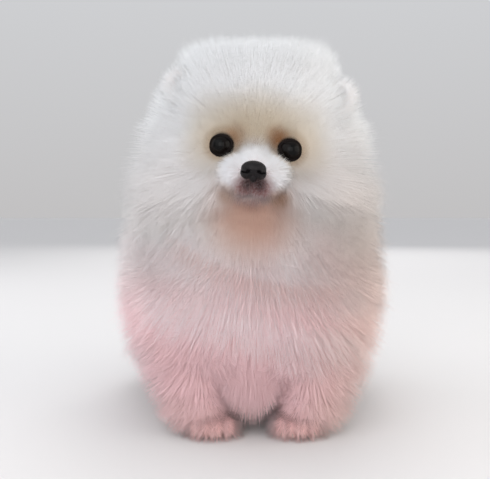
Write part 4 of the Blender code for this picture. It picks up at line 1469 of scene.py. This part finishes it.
@dataclass
class Mouth:
    """The dark line of the lips, from the groove under the nose out to the corners of the mouth."""

    thick: float = 0.0007

    def build(self, skin: bpy.types.Object) -> None:
        """Builds the lips on the skin and dresses them.

        Args:
            skin: The skin that they lie on.
        """
        ropes = []
        for side, word in SIDES:
            points = [(0.0000, -0.0455, -0.0215), (0.0003 * side, -0.0425, -0.0238), (0.0035 * side, -0.0385, -0.0255),
                      (0.0085 * side, -0.0355, -0.0260), (0.0120 * side, -0.0300, -0.0262),
                      (0.0150 * side, -0.0235, -0.0268)]
            deselect()
            bpy.ops.curve.primitive_nurbs_path_add()
            rope = bpy.context.object
            spline = rope.data.splines[0]
            spline.points.add(len(points) - len(spline.points)) if len(points) > len(spline.points) else None
            for number, (spot, place) in enumerate(zip(spline.points, points)):
                spot.co = (*skin.closest_point_on_mesh(TO_HEAD @ Vector(place) + STEP)[1], 1.0)
                spot.radius = 1.0 - 0.10 * number
            spline.use_endpoint_u = True
            spline.order_u = 4
            rope.data.bevel_depth = self.thick
            rope.data.bevel_resolution = 3
            rope.data.resolution_u = 8
            rope.data.use_fill_caps = True
            choose([rope])
            bpy.ops.object.convert(target="MESH")
            ropes.append(bpy.context.object)
        lips = join("lip_line", ropes)
        lips.data.shade_smooth()
        finish = LeatherFinish("lip_skin", (0.020, 0.010, 0.010), (0.075, 0.030, 0.026), 0.65, 1500.0, 0.0002, 0.0)
        lips.data.materials.append(finish.make())
        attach(lips, "root")
        LOG.info("lip_line: %d faces", len(lips.data.polygons))


@dataclass
class Claws:
    """Four small claws on each paw."""

    long: float = 0.0042
    thick: float = 0.0009

    def build(self) -> None:
        """Builds the claws of the four paws as one piece and dresses them."""
        claws = []
        for place, swing in ((FOREPAW, 0.0), (HINDPAW, RUMP_SWING)):
            for side in (1, -1):
                for toe in range(4):
                    across = (toe - 1.5) / 1.5
                    middle = Vector((place.x * side + swing + across * 0.0110, place.y - 0.0222 + 0.0042 * abs(across),
                                     0.0040))
                    claws.append(self.claw(middle, across))
        piece = join("claws", claws)
        piece.data.shade_smooth()
        piece.data.materials.append(ClawFinish().make())
        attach(piece, "root")
        LOG.info("claws: %d faces", len(piece.data.polygons))

    def claw(self, middle: Vector, across: float) -> bpy.types.Object:
        """One claw, a cone bent down to its point.

        Args:
            middle: Its middle, in the plan.
            across: Its toe's place across the paw, from -1 to 1.

        Returns:
            The claw.
        """
        deselect()
        bpy.ops.mesh.primitive_cone_add(vertices=10, radius1=self.thick, radius2=self.thick * 0.15, depth=self.long,
                                        location=middle + STEP, rotation=(math.radians(112), 0.0, across * 0.2))
        claw = bpy.context.object
        bpy.ops.object.mode_set(mode="EDIT")
        bpy.ops.mesh.select_all(action="SELECT")
        bpy.ops.mesh.subdivide(number_cuts=2)
        bpy.ops.object.mode_set(mode="OBJECT")
        for point in claw.data.vertices:
            point.co.x *= 0.8
            point.co.y -= (point.co.z / self.long + 0.5) ** 2 * 0.0008
        return claw


@dataclass
class Studio:
    """The pale floor, the soft lights and the camera at the photograph's angle."""

    eye: Vector = field(default_factory=lambda: Vector((-0.0068, -0.475, 0.149)))
    pitch: float = math.radians(2.26)
    focal_pixels: float = 620.0
    image_wide: float = 490.0
    sky: tuple[tuple[float, Colour], ...] = ((0.0, (0.66, 0.65, 0.655)), (0.7, (0.87, 0.90, 0.94)))
    sky_strength: float = 0.82

    def build(self) -> None:
        """Builds the floor, the lights and the camera."""
        self.floor()
        self.lights()
        self.camera()

    def floor(self) -> None:
        """A wide, flat floor."""
        deselect()
        bpy.ops.mesh.primitive_plane_add(size=60.0, location=(0.0, 0.0, 0.0))
        floor = bpy.context.object
        floor.name = "floor"
        floor.data.materials.append(FloorFinish().make())

    def lights(self) -> None:
        """Soft area lights from above left, in front, from both sides, from behind and from above, and light all round
        from a sky that is paler overhead.
        """
        world = bpy.data.worlds.new("studio")
        bpy.context.scene.world = world
        world.use_nodes = True
        nodes, links = world.node_tree.nodes, world.node_tree.links
        place = nodes.new("ShaderNodeTexCoord")
        parted = nodes.new("ShaderNodeSeparateXYZ")
        ramp = nodes.new("ShaderNodeValToRGB")
        for number, (stop, colour) in enumerate(self.sky):
            element = ramp.color_ramp.elements[number]
            element.position = stop
            element.color = (*colour, 1.0)
        links.new(place.outputs["Generated"], parted.inputs[0])
        links.new(parted.outputs[2], ramp.inputs[0])
        links.new(ramp.outputs[0], nodes["Background"].inputs["Color"])
        nodes["Background"].inputs["Strength"].default_value = self.sky_strength
        for name, place, size, power, colour in (
            ("key", (-0.55, -1.00, 0.70), 1.4, 6.5, (0.98, 0.99, 1.0)),
            ("front", (0.05, -1.45, 0.30), 1.4, 11.0, (1.0, 0.97, 0.96)),
            ("fill", (1.10, -0.40, 0.35), 1.2, 7.0, (1.0, 0.93, 0.83)),
            ("side", (-1.15, 0.35, 0.60), 1.2, 4.0, (0.97, 0.98, 1.0)),
            ("back", (0.30, 1.90, 1.30), 1.6, 12.0, (1.0, 0.99, 0.98)),
            ("top", (0.0, 0.10, 1.15), 0.9, 1.0, (0.88, 0.97, 1.0)),
        ):
            lamp = bpy.data.lights.new(name, "AREA")
            lamp.size = size
            lamp.energy = power
            lamp.color = colour
            thing = bpy.data.objects.new(name, lamp)
            thing.location = Vector(place) + STEP
            aim = Vector((0.0, -0.02, 0.13)) + STEP - thing.location
            thing.rotation_euler = aim.to_track_quat("-Z", "Y").to_euler()
            bpy.context.scene.collection.objects.link(thing)

    def camera(self) -> None:
        """The camera, at the photograph's place and angle."""
        lens = bpy.data.cameras.new("camera")
        lens.sensor_width = 36.0
        lens.lens = self.focal_pixels / self.image_wide * lens.sensor_width
        thing = bpy.data.objects.new("camera", lens)
        thing.location = self.eye + STEP
        thing.rotation_euler = (math.pi / 2 - self.pitch, 0.0, 0.0)
        bpy.context.scene.collection.objects.link(thing)
        bpy.context.scene.camera = thing
        bpy.context.scene.view_settings.view_transform = "Standard"


FLESH_NODES = ("head", "lower_jaw", "neck_ruff", "torso", "tail", "ear_left", "ear_right", "foreleg_left",
               "foreleg_right", "hindleg_left", "hindleg_right", "forepaw_left", "forepaw_right", "hindpaw_left",
               "hindpaw_right")


def main() -> None:
    """Builds and dresses the dog, then sets the studio round it."""
    logging.basicConfig(level=logging.INFO, format="%(name)s: %(message)s")
    body = Body()
    skin = body.build()
    dress(skin, SkinFinish().make())
    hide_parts(*FLESH_NODES)
    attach(skin, "root")
    LOG.info("skin: %d faces", len(skin.data.polygons))
    Coat(body, skin).build(HairFinish().make())
    Eyes().build()
    Nose().build()
    Mouth().build(skin)
    Claws().build()
    Studio().build()
    deselect()


if __name__ == "__main__":
    main()
